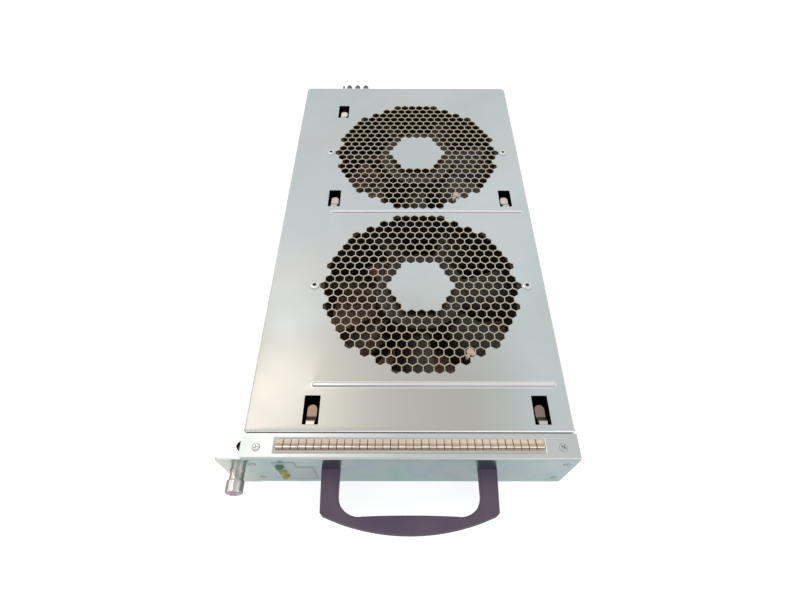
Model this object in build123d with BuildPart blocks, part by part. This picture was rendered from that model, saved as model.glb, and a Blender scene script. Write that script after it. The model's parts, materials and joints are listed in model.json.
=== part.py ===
from build123d import *
import math
import os

# Slide-in fan tray: two flat-sided axial fans in a folded sheet-metal box, with a front panel,
# a pull handle, a captive thumbscrew, status lamps and a plug-in power connector at the rear.
# X points right, Y points to the rear, Z points up. The origin is the centre of the bottom face.
# All sizes are in millimetres.

# Sheet-metal box
body_width = 210.0
body_length = 392.0
sheet = 1.2
bend_radius = 1.6
corner_radius = 5.0
lap_clearance = 0.1
cover_flange = 12.0
cover_hem = 3.0
relief = 3.0
seam_gap = 1.2

# Front panel
front_depth = 16.3
ear_width = 14.5
tab_reach = 11.0

# Fans
fan_diameter = 172.0
fan_across_flats = 150.0
fan_depth = 50.8
fan_bore = 147.0
fan_hole_circle = 162.0
fan_inset = 95.25
fan_setback = 131.3
fan_spacing = 155.1
flange_thickness = 4.0
barrel_wall = 2.5

# Fan motor
motor_base_radius = 31.0
motor_base_height = 4.0
strut_count = 4
strut_width = 7.0
tube_bore = 13.0
tube_wall = 2.0
tube_height = 41.0
shaft_diameter = 5.0
bearing_height = 4.0
board_thickness = 1.6
stack_radius = 27.5
stack_height = 18.0
pole_count = 4
pole_width = 7.0
pole_gap = 8.0
yoke_width = 3.0
yoke_hub = 5.0
coil_width = 15.0
coil_overhang = 3.0
board_gap = 5.4
air_gap = 0.7
magnet_wall = 3.0
cup_wall = 1.8
fit = 0.05
running_fit = 0.08

# Impeller
blade_count = 7
hub_wall = 2.4
hub_height = 38.5
hub_setback = 3.8
tip_gap = 1.5
blade_thickness = 2.2
root_chord = 34.0
tip_chord = 44.0
root_angle = 50.0
tip_angle = 32.0
tip_sweep = 9.0
blade_camber = 3.0

# Grille of six-sided cells; each modelled opening stands for cell_group by cell_group real ones
cell_pitch = 7.35
cell_flats = 6.35
cell_group = 2
blind_radius = 20.0
grille_radius = 76.5

# Pressed beads and hook windows of the cover
bead_width = 4.8
bead_height = 1.1
bead_taper = 40.0
bead_left = 75.5
bead_right = 89.0
bead_setback = 7.0
window_width = 9.5
window_length = 19.0
window_left = 73.3
window_right = 75.7
front_window_setback = 32.1
middle_window_offset = 60.8
rear_window_offset = 63.6
hook_width = 5.9
hook_flat = 3.0
hook_ramp = 3.2
hook_reach = 13.0
hook_drop = 4.6

# Contact finger strips
finger_pitch = 4.75
finger_count = 35
side_finger_count = 9
finger_slit = 0.5
strip_width = 8.9
strip_rail = 1.3
strip_height = 1.8
strip_metal = 0.25
strip_setback = 8.6
strip_margin = 1.9
recess_depth = 0.4

# Handle
handle_width = 113.4
handle_taper = 1.2
handle_leg = 11.4
handle_corner_reach = 26.7
handle_reach = 38.0
handle_opening_reach = 27.5
handle_bow = 1.5
handle_thickness = 10.5
handle_inner_radius = 14.0
handle_outer_radius = 2.0
handle_edge = 1.8
handle_grip_edge = 3.6
handle_screw = 4.0
handle_screw_depth = 12.0

# Captive thumbscrew
thumb_offset = 7.25
ferrule_diameter = 9.2
ferrule_length = 6.1
ferrule_flange = 9.9
ferrule_flange_height = 0.8
ferrule_bore = 6.8
ferrule_lip = 0.6
ferrule_collar = 1.2
ferrule_shank = 7.5
knob_diameter = 11.4
knob_length = 8.5
knob_cavity = 5.5
knob_chamfer = 1.2
knob_clearance = 0.2
knob_grip = 1.8
thumb_thread = 4.0
thumb_neck = 3.2
thumb_tip = 7.5
clip_thickness = 0.6
clip_diameter = 6.6
spring_wire = 0.5
spring_diameter = 5.6
spring_turns = 3

# Status lamps and label
lamp_diameter = 5.0
lamp_pitch = 10.8
lamp_indent = 3.9
lamp_top_drop = 14.3
lamp_protrusion = 3.2
lamp_base = 5.8
label_thickness = 0.3
label_gap = 4.4
label_width = 25.1
label_step = 14.4
label_foot = 8.3
label_height = 38.4
label_low_height = 28.4
board_width = 12.0
board_length = 40.0
spacer_length = 4.8
spacer_diameter = 5.0
spacer_spacing = 34.0

# Fasteners
face_rivet_inset = 5.2
face_rivet_spacing = 32.0
face_rivet_head = 3.2
face_rivet_shank = 2.4
face_rivet_rise = 0.5
panel_screw_inset = 9.9
panel_screw_setback = 7.5
panel_screw_head = 4.9
panel_screw_shank = 3.0
panel_screw_length = 6.0
nut_diameter = 6.4
nut_height = 2.0
dome_head = 7.6
dome_rise = 1.2
dome_hole = 2.9
rivet_shank = 4.0
rivet_tail = 6.4
rivet_tail_length = 3.0
fan_screw_length = 9.0
fan_screw_head = rivet_shank + 2 * sheet
hole_clearance = 0.15
small_sides = 12
large_sides = 48

# Rear connector
sleeve_pitch = 8.9
sleeve_diameter = 5.7
sleeve_bore = 3.6
sleeve_reach = 15.4
socket_bore = 2.2
socket_depth = 11.0
socket_setback = 1.5
connector_inset = 52.3
connector_drop = 8.3
blade_offset = 14.7
key_thickness = 1.7
key_height = 6.0
key_reach = 13.5
housing_width = 34.0
housing_height = 13.0
housing_depth = 12.0
housing_shift = 3.3
flange_plate = 2.0
flange_width = 48.0
connector_screw_spacing = 41.0
connector_screw = 3.0

# Terminal block on the side of each fan
terminal_depth = 8.0
terminal_width = 16.0
terminal_height = 16.0
terminal_level = 6.0

# Places worked out from the sizes above
body_height = fan_depth + 2 * sheet
top_z = body_height
mid_z = body_height / 2
half_width = body_width / 2
face_y = -body_length / 2
rear_y = body_length / 2
fan_offset = half_width - fan_inset
cover_front = face_y + front_depth + seam_gap
cover_length = rear_y - cover_front
pan_half = half_width - sheet - lap_clearance
pan_front = face_y + front_depth + seam_gap / 4
pan_rear = rear_y - sheet - lap_clearance
fan_y = {"front": face_y + fan_setback, "rear": face_y + fan_setback + fan_spacing}
fan_base = sheet
bore_radius = fan_bore / 2
hole_radius = fan_hole_circle / 2
thumb_x = -half_width - thumb_offset
label_x = -handle_width / 2 - label_gap - label_width
lamp_x = label_x + lamp_indent
lamp_zs = [top_z - lamp_top_drop - i * lamp_pitch for i in range(3)]
board_front = face_y + sheet + spacer_length
connector_x = -half_width + connector_inset
connector_z = top_z - connector_drop
housing_x = connector_x - housing_shift


def save(block, name):
    """Label a finished piece and write it under its own name."""
    block.part.label = name
    export_step(block.part, f"parts/{name}.step")


def face_plane(x, z, y=face_y):
    """A plane across the tray at (x, z), looking out of the front, its X to the right and its Y up."""
    return Plane(origin=(x, y, z), x_dir=(1, 0, 0), z_dir=(0, -1, 0))


def turned(seat, points):
    """Turn a closed profile, given as (radius, height) on the seat plane's axis, into a round solid."""
    upright = Plane(origin=seat.origin, x_dir=seat.x_dir, z_dir=-seat.y_dir)
    with BuildSketch(upright) as profile:
        with BuildLine():
            Polyline(*points, close=True)
        make_face()
    revolve(profile.sketch, axis=Axis(seat.origin, seat.z_dir))


def post(seat, radius, start, end, taper=0.0, mode=Mode.ADD):
    """A small round step of a fastener, many-sided, between two heights on the seat plane's axis."""
    with BuildSketch(seat.offset(start)) as profile:
        RegularPolygon(radius, small_sides)
    extrude(profile.sketch, amount=end - start, taper=taper, mode=mode)


def cell_centres(pitch, flats):
    """Centres of the grille cells that lie between the blind middle and the rim."""
    row_pitch = pitch * math.sqrt(3) / 2
    reach = math.ceil(grille_radius / row_pitch)
    centres = []
    for row in range(-reach, reach + 1):
        shift = pitch / 2 if row % 2 else 0.0
        for column in range(-reach, reach + 1):
            x = column * pitch + shift
            y = row * row_pitch
            if blind_radius + flats / 2 < math.hypot(x, y) < grille_radius - flats / 2:
                centres.append((x, y))
    return centres


def fan_hole_points():
    """The two fixing holes of each fan, on the long axis of its flange."""
    return [(fan_offset + side * hole_radius, y) for y in fan_y.values() for side in (-1, 1)]


# Top cover: folded sheet with side and rear flanges, a front hem, grilles, beads and hook windows
window_spots = [
    (fan_offset - window_left, face_y + front_window_setback),
    (fan_offset + window_right, face_y + front_window_setback),
    (fan_offset - window_left, fan_y["rear"] - middle_window_offset),
    (fan_offset + window_right, fan_y["rear"] - middle_window_offset),
    (fan_offset - window_left, fan_y["rear"] + rear_window_offset),
]
bead_rows = [
    fan_y["front"] - fan_across_flats / 2 - bead_setback,
    (fan_y["front"] + fan_y["rear"]) / 2,
]
bead_length = bead_left + bead_right
bead_x = fan_offset + (bead_right - bead_left) / 2
coarse_pitch = cell_pitch * cell_group
coarse_flats = cell_flats * cell_group

with BuildPart() as top_cover:
    with BuildSketch(Plane.XY.offset(top_z - cover_flange)) as blank:
        with Locations((0, cover_front + cover_length / 2)):
            Rectangle(body_width, cover_length)
        fillet(blank.vertices().group_by(Axis.Y)[-1], corner_radius)
    extrude(amount=cover_flange)
    chamfer(top_cover.faces().sort_by(Axis.Z)[-1].edges().sort_by(Axis.Y)[1:], bend_radius * 0.6)
    with BuildSketch(Plane.XY.offset(top_z - cover_flange)) as hollow:
        with Locations((0, cover_front + (cover_length - sheet) / 2)):
            Rectangle(body_width - 2 * sheet, cover_length - sheet)
        fillet(hollow.vertices().group_by(Axis.Y)[-1], corner_radius - sheet)
    extrude(amount=cover_flange - sheet, mode=Mode.SUBTRACT)
    # Front hem, short of both corners
    with BuildSketch(Plane.XY.offset(top_z - cover_hem)):
        with Locations((0, cover_front + sheet / 2)):
            Rectangle(body_width - 2 * (sheet + relief), sheet)
    extrude(amount=cover_hem - sheet / 2)
    with BuildSketch(Plane.XY.offset(top_z - sheet)):
        for side in (-1, 1):
            with Locations((side * (half_width - sheet - relief / 2), cover_front + relief / 2)):
                Rectangle(relief, relief)
    extrude(amount=sheet, mode=Mode.SUBTRACT)
    # Raised beads
    with BuildSketch(Plane.XY.offset(top_z)):
        with Locations(*[(bead_x, y) for y in bead_rows]):
            SlotOverall(bead_length, bead_width)
    extrude(amount=bead_height, taper=bead_taper)
    # Windows, each with a hook lanced from its front edge and bent down inside
    with BuildSketch(Plane.XY.offset(top_z - sheet)):
        with Locations(*window_spots):
            Rectangle(window_width, window_length)
    extrude(amount=sheet, mode=Mode.SUBTRACT)
    for x, y in window_spots:
        root = y - window_length / 2
        with BuildSketch(Plane(origin=(x, root, top_z), x_dir=(0, 1, 0), z_dir=(1, 0, 0))):
            with BuildLine():
                Polyline(
                    (-sheet, 0),
                    (hook_flat, 0),
                    (hook_flat + hook_ramp, -hook_drop),
                    (hook_reach, -hook_drop),
                    (hook_reach, -hook_drop - sheet),
                    (hook_flat + hook_ramp - sheet / 2, -hook_drop - sheet),
                    (hook_flat - sheet / 2, -sheet),
                    (-sheet, -sheet),
                    close=True,
                )
            make_face()
    extrude(amount=hook_width / 2, both=True)
    # Fixing holes, connector notch in the rear flange, grilles
    with BuildSketch(Plane.XY.offset(top_z - sheet)):
        with Locations(*fan_hole_points()):
            RegularPolygon(rivet_shank / 2 + hole_clearance, small_sides)
    extrude(amount=sheet, mode=Mode.SUBTRACT)
    with BuildSketch(Plane.XY.offset(top_z - cover_flange)):
        with Locations((housing_x, rear_y - sheet / 2)):
            Rectangle(flange_width + 2, 2 * sheet)
    extrude(amount=cover_flange - bend_radius, mode=Mode.SUBTRACT)
    with BuildSketch(Plane.XY.offset(top_z - sheet)) as cells:
        for y in fan_y.values():
            spots = [(fan_offset + cx, y + cy) for cx, cy in cell_centres(coarse_pitch, coarse_flats)]
            with Locations(*spots):
                RegularPolygon(coarse_flats / 2, 6, major_radius=False, rotation=30)
    extrude(amount=sheet, mode=Mode.SUBTRACT)
save(top_cover, "top_cover")

# Base pan: floor with two fan openings, side and rear walls, and the tabs that carry the panel
with BuildPart() as base_pan:
    with BuildSketch(Plane.XY) as floor:
        with Locations((0, (pan_front + pan_rear) / 2)):
            Rectangle(2 * pan_half, pan_rear - pan_front)
        fillet(floor.vertices().group_by(Axis.Y)[-1], corner_radius - sheet - lap_clearance)
    extrude(amount=top_z - sheet)
    with BuildSketch(Plane.XY.offset(sheet)) as room:
        with Locations((0, (pan_front + pan_rear - sheet) / 2)):
            Rectangle(2 * (pan_half - sheet), pan_rear - pan_front - sheet)
        fillet(room.vertices().group_by(Axis.Y)[-1], corner_radius - 2 * sheet - lap_clearance)
    extrude(amount=top_z, mode=Mode.SUBTRACT)
    for side in (-1, 1):
        wall_x = side * (pan_half - sheet / 2)
        tab_x = side * (pan_half - tab_reach / 2)
        with BuildSketch(Plane.XY.offset(sheet)):
            with Locations((wall_x, (face_y + sheet + pan_front + sheet) / 2)):
                Rectangle(sheet, pan_front - face_y)
        extrude(amount=top_z - 2 * sheet)
        with BuildSketch(Plane.XY.offset(sheet)):
            with Locations((tab_x, face_y + 1.5 * sheet)):
                Rectangle(tab_reach, sheet)
        extrude(amount=top_z - 2 * sheet)
        top_tab_x = side * (pan_half - tab_reach * 0.75)
        with BuildSketch(Plane.XY.offset(top_z - 2 * sheet)):
            with Locations((top_tab_x, face_y + (sheet + front_depth) / 2)):
                Rectangle(tab_reach * 1.5, front_depth - sheet)
        extrude(amount=sheet)
    with BuildSketch(Plane.XY):
        with Locations(*[(fan_offset, y) for y in fan_y.values()]):
            RegularPolygon(bore_radius, large_sides, major_radius=False)
    extrude(amount=sheet, mode=Mode.SUBTRACT)
    for x, y in fan_hole_points():
        seat = Plane(origin=(x, y, 0), z_dir=(0, 0, -1))
        post(seat, rivet_shank / 2 + hole_clearance, -sheet, 0, taper=-45, mode=Mode.SUBTRACT)
    for side in (-1, 1):
        with BuildSketch(Plane.XY.offset(top_z - 2 * sheet)):
            with Locations((side * (half_width - panel_screw_inset), face_y + panel_screw_setback)):
                RegularPolygon(panel_screw_shank / 2 + hole_clearance, small_sides)
        extrude(amount=sheet, mode=Mode.SUBTRACT)
        with BuildSketch(face_plane(side * (half_width - face_rivet_inset), mid_z)):
            with GridLocations(1, face_rivet_spacing, 1, 2):
                RegularPolygon(face_rivet_shank / 2 + hole_clearance, small_sides)
        extrude(amount=-3 * sheet, mode=Mode.SUBTRACT)
    with BuildSketch(face_plane(housing_x, connector_z, pan_rear)):
        Rectangle(housing_width + 0.4, housing_height + 0.4)
        with GridLocations(connector_screw_spacing, 1, 2, 1):
            RegularPolygon(connector_screw / 2 + hole_clearance, small_sides)
    extrude(amount=sheet, mode=Mode.SUBTRACT)
save(base_pan, "base_pan")

# Front panel: a folded box open to the rear, with the ear for the thumbscrew at its left
ear_x = -half_width - ear_width / 2

with BuildPart() as front_panel:
    with BuildSketch(face_plane(0, mid_z)):
        Rectangle(body_width, body_height)
    extrude(amount=-front_depth)
    fillet(front_panel.faces().sort_by(Axis.Y)[0].edges().filter_by(Axis.X), bend_radius)
    with BuildSketch(face_plane(0, mid_z, face_y + sheet)):
        Rectangle(body_width - 2 * sheet, body_height - 2 * sheet)
    extrude(amount=-front_depth, mode=Mode.SUBTRACT)
    with BuildSketch(face_plane(ear_x + bend_radius / 2, mid_z)) as ear:
        Rectangle(ear_width + bend_radius, body_height)
        fillet(ear.vertices().group_by(Axis.X)[0], bend_radius)
    extrude(amount=-sheet)
    # Shallow recess under the contact fingers
    with BuildSketch(Plane.XY.offset(top_z)):
        with Locations((0, face_y + strip_setback)):
            Rectangle(finger_count * finger_pitch + 2 * strip_margin, strip_width + strip_margin)
    extrude(amount=-recess_depth, mode=Mode.SUBTRACT)
    # Holes of the top screws, rivets, lamps, handle and thumbscrew
    for side in (-1, 1):
        screw_spot = (side * (half_width - panel_screw_inset), face_y + panel_screw_setback, top_z)
        cone = (panel_screw_head - panel_screw_shank) / 2
        post(Plane(origin=screw_spot), panel_screw_shank / 2 + hole_clearance, -sheet, 0, mode=Mode.SUBTRACT)
        post(
            Plane(origin=screw_spot),
            panel_screw_shank / 2 + hole_clearance, -cone, 0, taper=-45, mode=Mode.SUBTRACT,
        )
    with BuildSketch(face_plane(0, mid_z)):
        with GridLocations(2 * (half_width - face_rivet_inset), face_rivet_spacing, 2, 2):
            RegularPolygon(face_rivet_shank / 2 + hole_clearance, small_sides)
        with GridLocations(handle_width - handle_leg, 1, 2, 1):
            RegularPolygon(handle_screw / 2 + hole_clearance, small_sides)
        with Locations(*[(lamp_x, z - mid_z) for z in lamp_zs]):
            RegularPolygon(lamp_diameter / 2 + hole_clearance, small_sides)
        with Locations((thumb_x, 0)):
            Circle(ferrule_shank / 2)
    extrude(amount=-sheet, mode=Mode.SUBTRACT)
save(front_panel, "front_panel")


def finger_strip(seat, count, name):
    """Spring-metal contact strip: a rail with bowed fingers; seat is its plane, X along the strip."""
    length = count * finger_pitch
    section = Plane(origin=seat.origin - seat.x_dir * length / 2, x_dir=seat.y_dir, z_dir=seat.x_dir)
    half = strip_width / 2
    crest = -half + strip_width / 3
    with BuildPart() as strip:
        with BuildSketch(section):
            with BuildLine():
                Polyline(
                    (-half, 0),
                    (-half + strip_rail, 0),
                    (crest, strip_height - strip_metal),
                    (half - strip_metal, strip_metal / 2),
                    (half, strip_metal / 2),
                    (half, strip_metal * 1.5),
                    (crest, strip_height),
                    (-half + strip_rail, strip_metal),
                    (-half, strip_metal),
                    close=True,
                )
            make_face()
        extrude(amount=length)
        with BuildSketch(seat):
            with Locations((0, strip_rail / 2)):
                with GridLocations(finger_pitch, 1, count - 1, 1):
                    Rectangle(finger_slit, strip_width - strip_rail)
        extrude(amount=strip_height, mode=Mode.SUBTRACT)
    save(strip, name)


finger_strip(
    Plane(origin=(0, face_y + strip_setback, top_z - recess_depth), x_dir=(1, 0, 0), z_dir=(0, 0, 1)),
    finger_count,
    "top_contact_strip",
)
finger_strip(
    Plane(origin=(-half_width, face_y + strip_setback, mid_z), x_dir=(0, 0, -1), z_dir=(-1, 0, 0)),
    side_finger_count,
    "side_contact_strip",
)

# Pull handle: a moulded loop on two legs, its front edge an arc
leg_x = (handle_width - handle_leg) / 2
corner_x = handle_width / 2 - handle_taper
opening_x = handle_width / 2 - handle_leg
opening_y = face_y - handle_opening_reach

with BuildPart() as handle:
    with BuildSketch(Plane.XY.offset(mid_z - handle_thickness / 2)) as plan:
        with BuildLine():
            Polyline(
                (-opening_x, face_y), (-handle_width / 2, face_y), (-corner_x, face_y - handle_corner_reach)
            )
            ThreePointArc(
                (-corner_x, face_y - handle_corner_reach),
                (0, face_y - handle_reach),
                (corner_x, face_y - handle_corner_reach),
            )
            Polyline(
                (corner_x, face_y - handle_corner_reach), (handle_width / 2, face_y), (opening_x, face_y)
            )
            Line((opening_x, face_y), (opening_x, opening_y - handle_bow))
            ThreePointArc(
                (opening_x, opening_y - handle_bow),
                (0, opening_y),
                (-opening_x, opening_y - handle_bow),
            )
            Line((-opening_x, opening_y - handle_bow), (-opening_x, face_y))
        make_face()
        inner_corners = plan.vertices().filter_by(
            lambda v: abs(abs(v.X) - opening_x) < lap_clearance and v.Y < face_y - handle_leg
        )
        fillet(inner_corners, handle_inner_radius)
        outer_corners = plan.vertices().filter_by(
            lambda v: v.Y < face_y - handle_leg and abs(v.X) > opening_x + handle_edge
        )
        fillet(outer_corners, handle_outer_radius)
    extrude(amount=handle_thickness)
    rims = handle.faces().filter_by(Axis.Z).edges().filter_by(lambda e: e.center().Y < face_y - 0.1)
    inside = rims.filter_by(
        lambda e: abs(e.center().X) < opening_x + 0.1 and e.center().Y > opening_y - 0.1
    )
    fillet(inside, handle_grip_edge)
    outside_now = handle.faces().filter_by(Axis.Z).edges().filter_by(
        lambda e: abs(e.center().X) > opening_x + handle_grip_edge + 0.1
        or e.center().Y < opening_y - handle_grip_edge - 0.1
    ).filter_by(lambda e: e.center().Y < face_y - 0.1)
    chamfer(outside_now, handle_edge)
    with BuildSketch(face_plane(0, mid_z)):
        with GridLocations(2 * leg_x, 1, 2, 1):
            RegularPolygon(handle_screw / 2 + fit, small_sides)
    extrude(amount=handle_screw_depth, mode=Mode.SUBTRACT)
save(handle, "handle")

with BuildPart() as handle_screws:
    for side in (-1, 1):
        seat = face_plane(side * leg_x, mid_z, face_y + sheet)
        post(seat, handle_screw / 2, 0, sheet + handle_screw_depth - 1)
        post(seat, handle_screw * 0.8, -handle_screw * 0.6, 0, taper=-12)
save(handle_screws, "handle_screws")

# Captive thumbscrew: ferrule pressed into the ear, sprung screw with its knob, retaining clip
thumb_face = face_plane(thumb_x, mid_z)
ferrule_back = -sheet - ferrule_collar
knob_front = ferrule_length + knob_length
cavity_floor = ferrule_length + knob_cavity
clip_front = ferrule_back - lap_clearance
clip_back = clip_front - clip_thickness
thumb_end = -sheet - thumb_tip

with BuildPart() as thumbscrew_ferrule:
    turned(
        thumb_face,
        [
            (thumb_thread / 2 + running_fit, ferrule_back),
            (ferrule_shank / 2, ferrule_back),
            (ferrule_shank / 2, 0),
            (ferrule_flange / 2, 0),
            (ferrule_flange / 2, ferrule_flange_height),
            (ferrule_diameter / 2, ferrule_flange_height),
            (ferrule_diameter / 2, ferrule_length),
            (ferrule_bore / 2, ferrule_length),
            (ferrule_bore / 2, ferrule_lip),
            (thumb_thread / 2 + running_fit, ferrule_lip),
        ],
    )
save(thumbscrew_ferrule, "thumbscrew_ferrule")

cavity_radius = ferrule_diameter / 2 + knob_clearance
with BuildPart() as thumbscrew_knob:
    turned(
        thumb_face,
        [
            (0, knob_front),
            (knob_diameter / 2 - knob_chamfer, knob_front),
            (knob_diameter / 2, knob_front - knob_chamfer),
            (knob_diameter / 2, ferrule_length),
            (cavity_radius, ferrule_length),
            (cavity_radius, cavity_floor),
            (thumb_neck / 2, cavity_floor),
            (thumb_neck / 2, cavity_floor + knob_grip),
            (0, cavity_floor + knob_grip),
        ],
    )
save(thumbscrew_knob, "thumbscrew_knob")

with BuildPart() as thumbscrew_shank:
    turned(
        thumb_face,
        [
            (0, cavity_floor + knob_grip),
            (thumb_neck / 2, cavity_floor + knob_grip),
            (thumb_neck / 2, clip_back - lap_clearance),
            (thumb_thread / 2, clip_back - lap_clearance),
            (thumb_thread / 2, thumb_end + 0.6),
            (thumb_thread / 2 - 0.6, thumb_end),
            (0, thumb_end),
        ],
    )
save(thumbscrew_shank, "thumbscrew_shank")

with BuildPart() as thumbscrew_clip:
    turned(
        thumb_face,
        [
            (thumb_neck / 2 + running_fit, clip_front),
            (clip_diameter / 2, clip_front),
            (clip_diameter / 2, clip_back),
            (thumb_neck / 2 + running_fit, clip_back),
        ],
    )
save(thumbscrew_clip, "thumbscrew_clip")

spring_length = cavity_floor - ferrule_lip - spring_wire
with BuildPart() as thumbscrew_spring:
    with BuildLine() as coil:
        Helix(
            spring_length / spring_turns,
            spring_length,
            spring_diameter / 2,
            center=(thumb_x, face_y - ferrule_lip - spring_wire / 2, mid_z),
            direction=(0, -1, 0),
        )
    with BuildSketch(Plane(origin=coil.line @ 0, z_dir=coil.line % 0)):
        Rectangle(spring_wire * 0.85, spring_wire * 0.85)
    sweep(path=coil.line, is_frenet=True)
save(thumbscrew_spring, "thumbscrew_spring")

# Status label, lamps, lamp board and its spacers
with BuildPart() as status_label:
    with BuildSketch(face_plane(label_x, label_foot)):
        with BuildLine():
            Polyline(
                (0, 0),
                (label_width, 0),
                (label_width, label_low_height),
                (label_step, label_low_height),
                (label_step, label_height),
                (0, label_height),
                close=True,
            )
        make_face()
        with Locations(*[(lamp_indent, z - label_foot) for z in lamp_zs]):
            RegularPolygon(lamp_diameter / 2 + hole_clearance, small_sides, mode=Mode.SUBTRACT)
    extrude(amount=label_thickness)
save(status_label, "status_label")


def lamp(z):
    """A round lamp: domed lens through the panel, flanged base on the lamp board."""
    seat = face_plane(lamp_x, z)
    back = -sheet - spacer_length
    post(seat, lamp_base / 2, back, back + 1)
    post(seat, lamp_diameter / 2, back, lamp_protrusion / 2)
    post(seat, lamp_diameter / 2, lamp_protrusion / 2, lamp_protrusion, taper=45)


with BuildPart() as ready_lamp:
    lamp(lamp_zs[0])
save(ready_lamp, "ready_lamp")

with BuildPart() as fault_lamps:
    for z in lamp_zs[1:]:
        lamp(z)
save(fault_lamps, "fault_lamps")

with BuildPart() as lamp_board:
    with BuildSketch(face_plane(lamp_x, lamp_zs[1], board_front)):
        Rectangle(board_width, board_length)
    extrude(amount=-board_thickness)
save(lamp_board, "lamp_board")

with BuildPart() as board_spacers:
    with BuildSketch(face_plane(lamp_x, lamp_zs[1], face_y + sheet)):
        with GridLocations(1, spacer_spacing, 1, 2):
            RegularPolygon(spacer_diameter / 2, 6)
    extrude(amount=-spacer_length)
save(board_spacers, "board_spacers")

# Rivets that hold the panel to the pan, and the flush screws of the panel's top with their nuts
with BuildPart() as face_rivets:
    for side in (-1, 1):
        for level in (-1, 1):
            seat = face_plane(side * (half_width - face_rivet_inset), mid_z + level * face_rivet_spacing / 2)
            post(seat, face_rivet_shank / 2, -2 * sheet, 0)
            post(seat, face_rivet_head / 2, 0, face_rivet_rise, taper=30)
            post(seat, face_rivet_head / 2, -2 * sheet - face_rivet_rise, -2 * sheet)
save(face_rivets, "face_rivets")


def flat_screw(seat, head, shank, length):
    """A flush screw with a 90 degree head, its top in the seat plane and its shank below it."""
    cone = (head - shank) / 2
    post(seat, shank / 2, -length, -cone)
    post(seat, shank / 2, -cone, 0, taper=-45)


screw_x = half_width - panel_screw_inset
panel_screw_spots = [(-screw_x, face_y + panel_screw_setback), (screw_x, face_y + panel_screw_setback)]

with BuildPart() as panel_screws:
    for x, y in panel_screw_spots:
        flat_screw(Plane(origin=(x, y, top_z)), panel_screw_head, panel_screw_shank, panel_screw_length)
save(panel_screws, "panel_screws")

with BuildPart() as clinch_nuts:
    with BuildSketch(Plane.XY.offset(top_z - 2 * sheet)):
        with Locations(*panel_screw_spots):
            RegularPolygon(nut_diameter / 2, 6)
            RegularPolygon(panel_screw_shank / 2 + fit, small_sides, mode=Mode.SUBTRACT)
    extrude(amount=-nut_height)
save(clinch_nuts, "clinch_nuts")

# Blind rivets through the cover and flush screws through the pan hold both flanges of each fan
with BuildPart() as fan_rivets:
    for x, y in fan_hole_points():
        seat = Plane(origin=(x, y, top_z))
        grip = sheet + flange_thickness
        post(seat, dome_head / 2, 0, dome_rise, taper=45)
        post(seat, rivet_shank / 2, -grip, 0)
        post(seat, rivet_tail / 2, -grip - rivet_tail_length, -grip)
        post(seat, dome_hole / 2, -sheet, dome_rise, mode=Mode.SUBTRACT)
save(fan_rivets, "fan_rivets")

with BuildPart() as fan_screws:
    for x, y in fan_hole_points():
        flat_screw(Plane(origin=(x, y, 0), z_dir=(0, 0, -1)), fan_screw_head, rivet_shank, fan_screw_length)
save(fan_screws, "fan_screws")


# Fans. Both are the same; each stands on the pan's floor and reaches the cover.
shaft_radius = shaft_diameter / 2
tube_radius = tube_bore / 2 + tube_wall
floor_thickness = 1.2
lower_bearing = motor_base_height + 2.0
upper_bearing = tube_height - bearing_height - 0.5
motor_board_level = motor_base_height
stack_level = motor_board_level + board_thickness + coil_overhang + board_gap
magnet_radius = stack_radius + air_gap
cup_radius = magnet_radius + magnet_wall + cup_wall
hub_radius = cup_radius + hub_wall
hub_top = fan_depth - hub_setback
cup_top = hub_top - hub_wall
cup_bottom = hub_top - hub_height + 1.5
tip_radius = bore_radius - tip_gap


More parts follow.
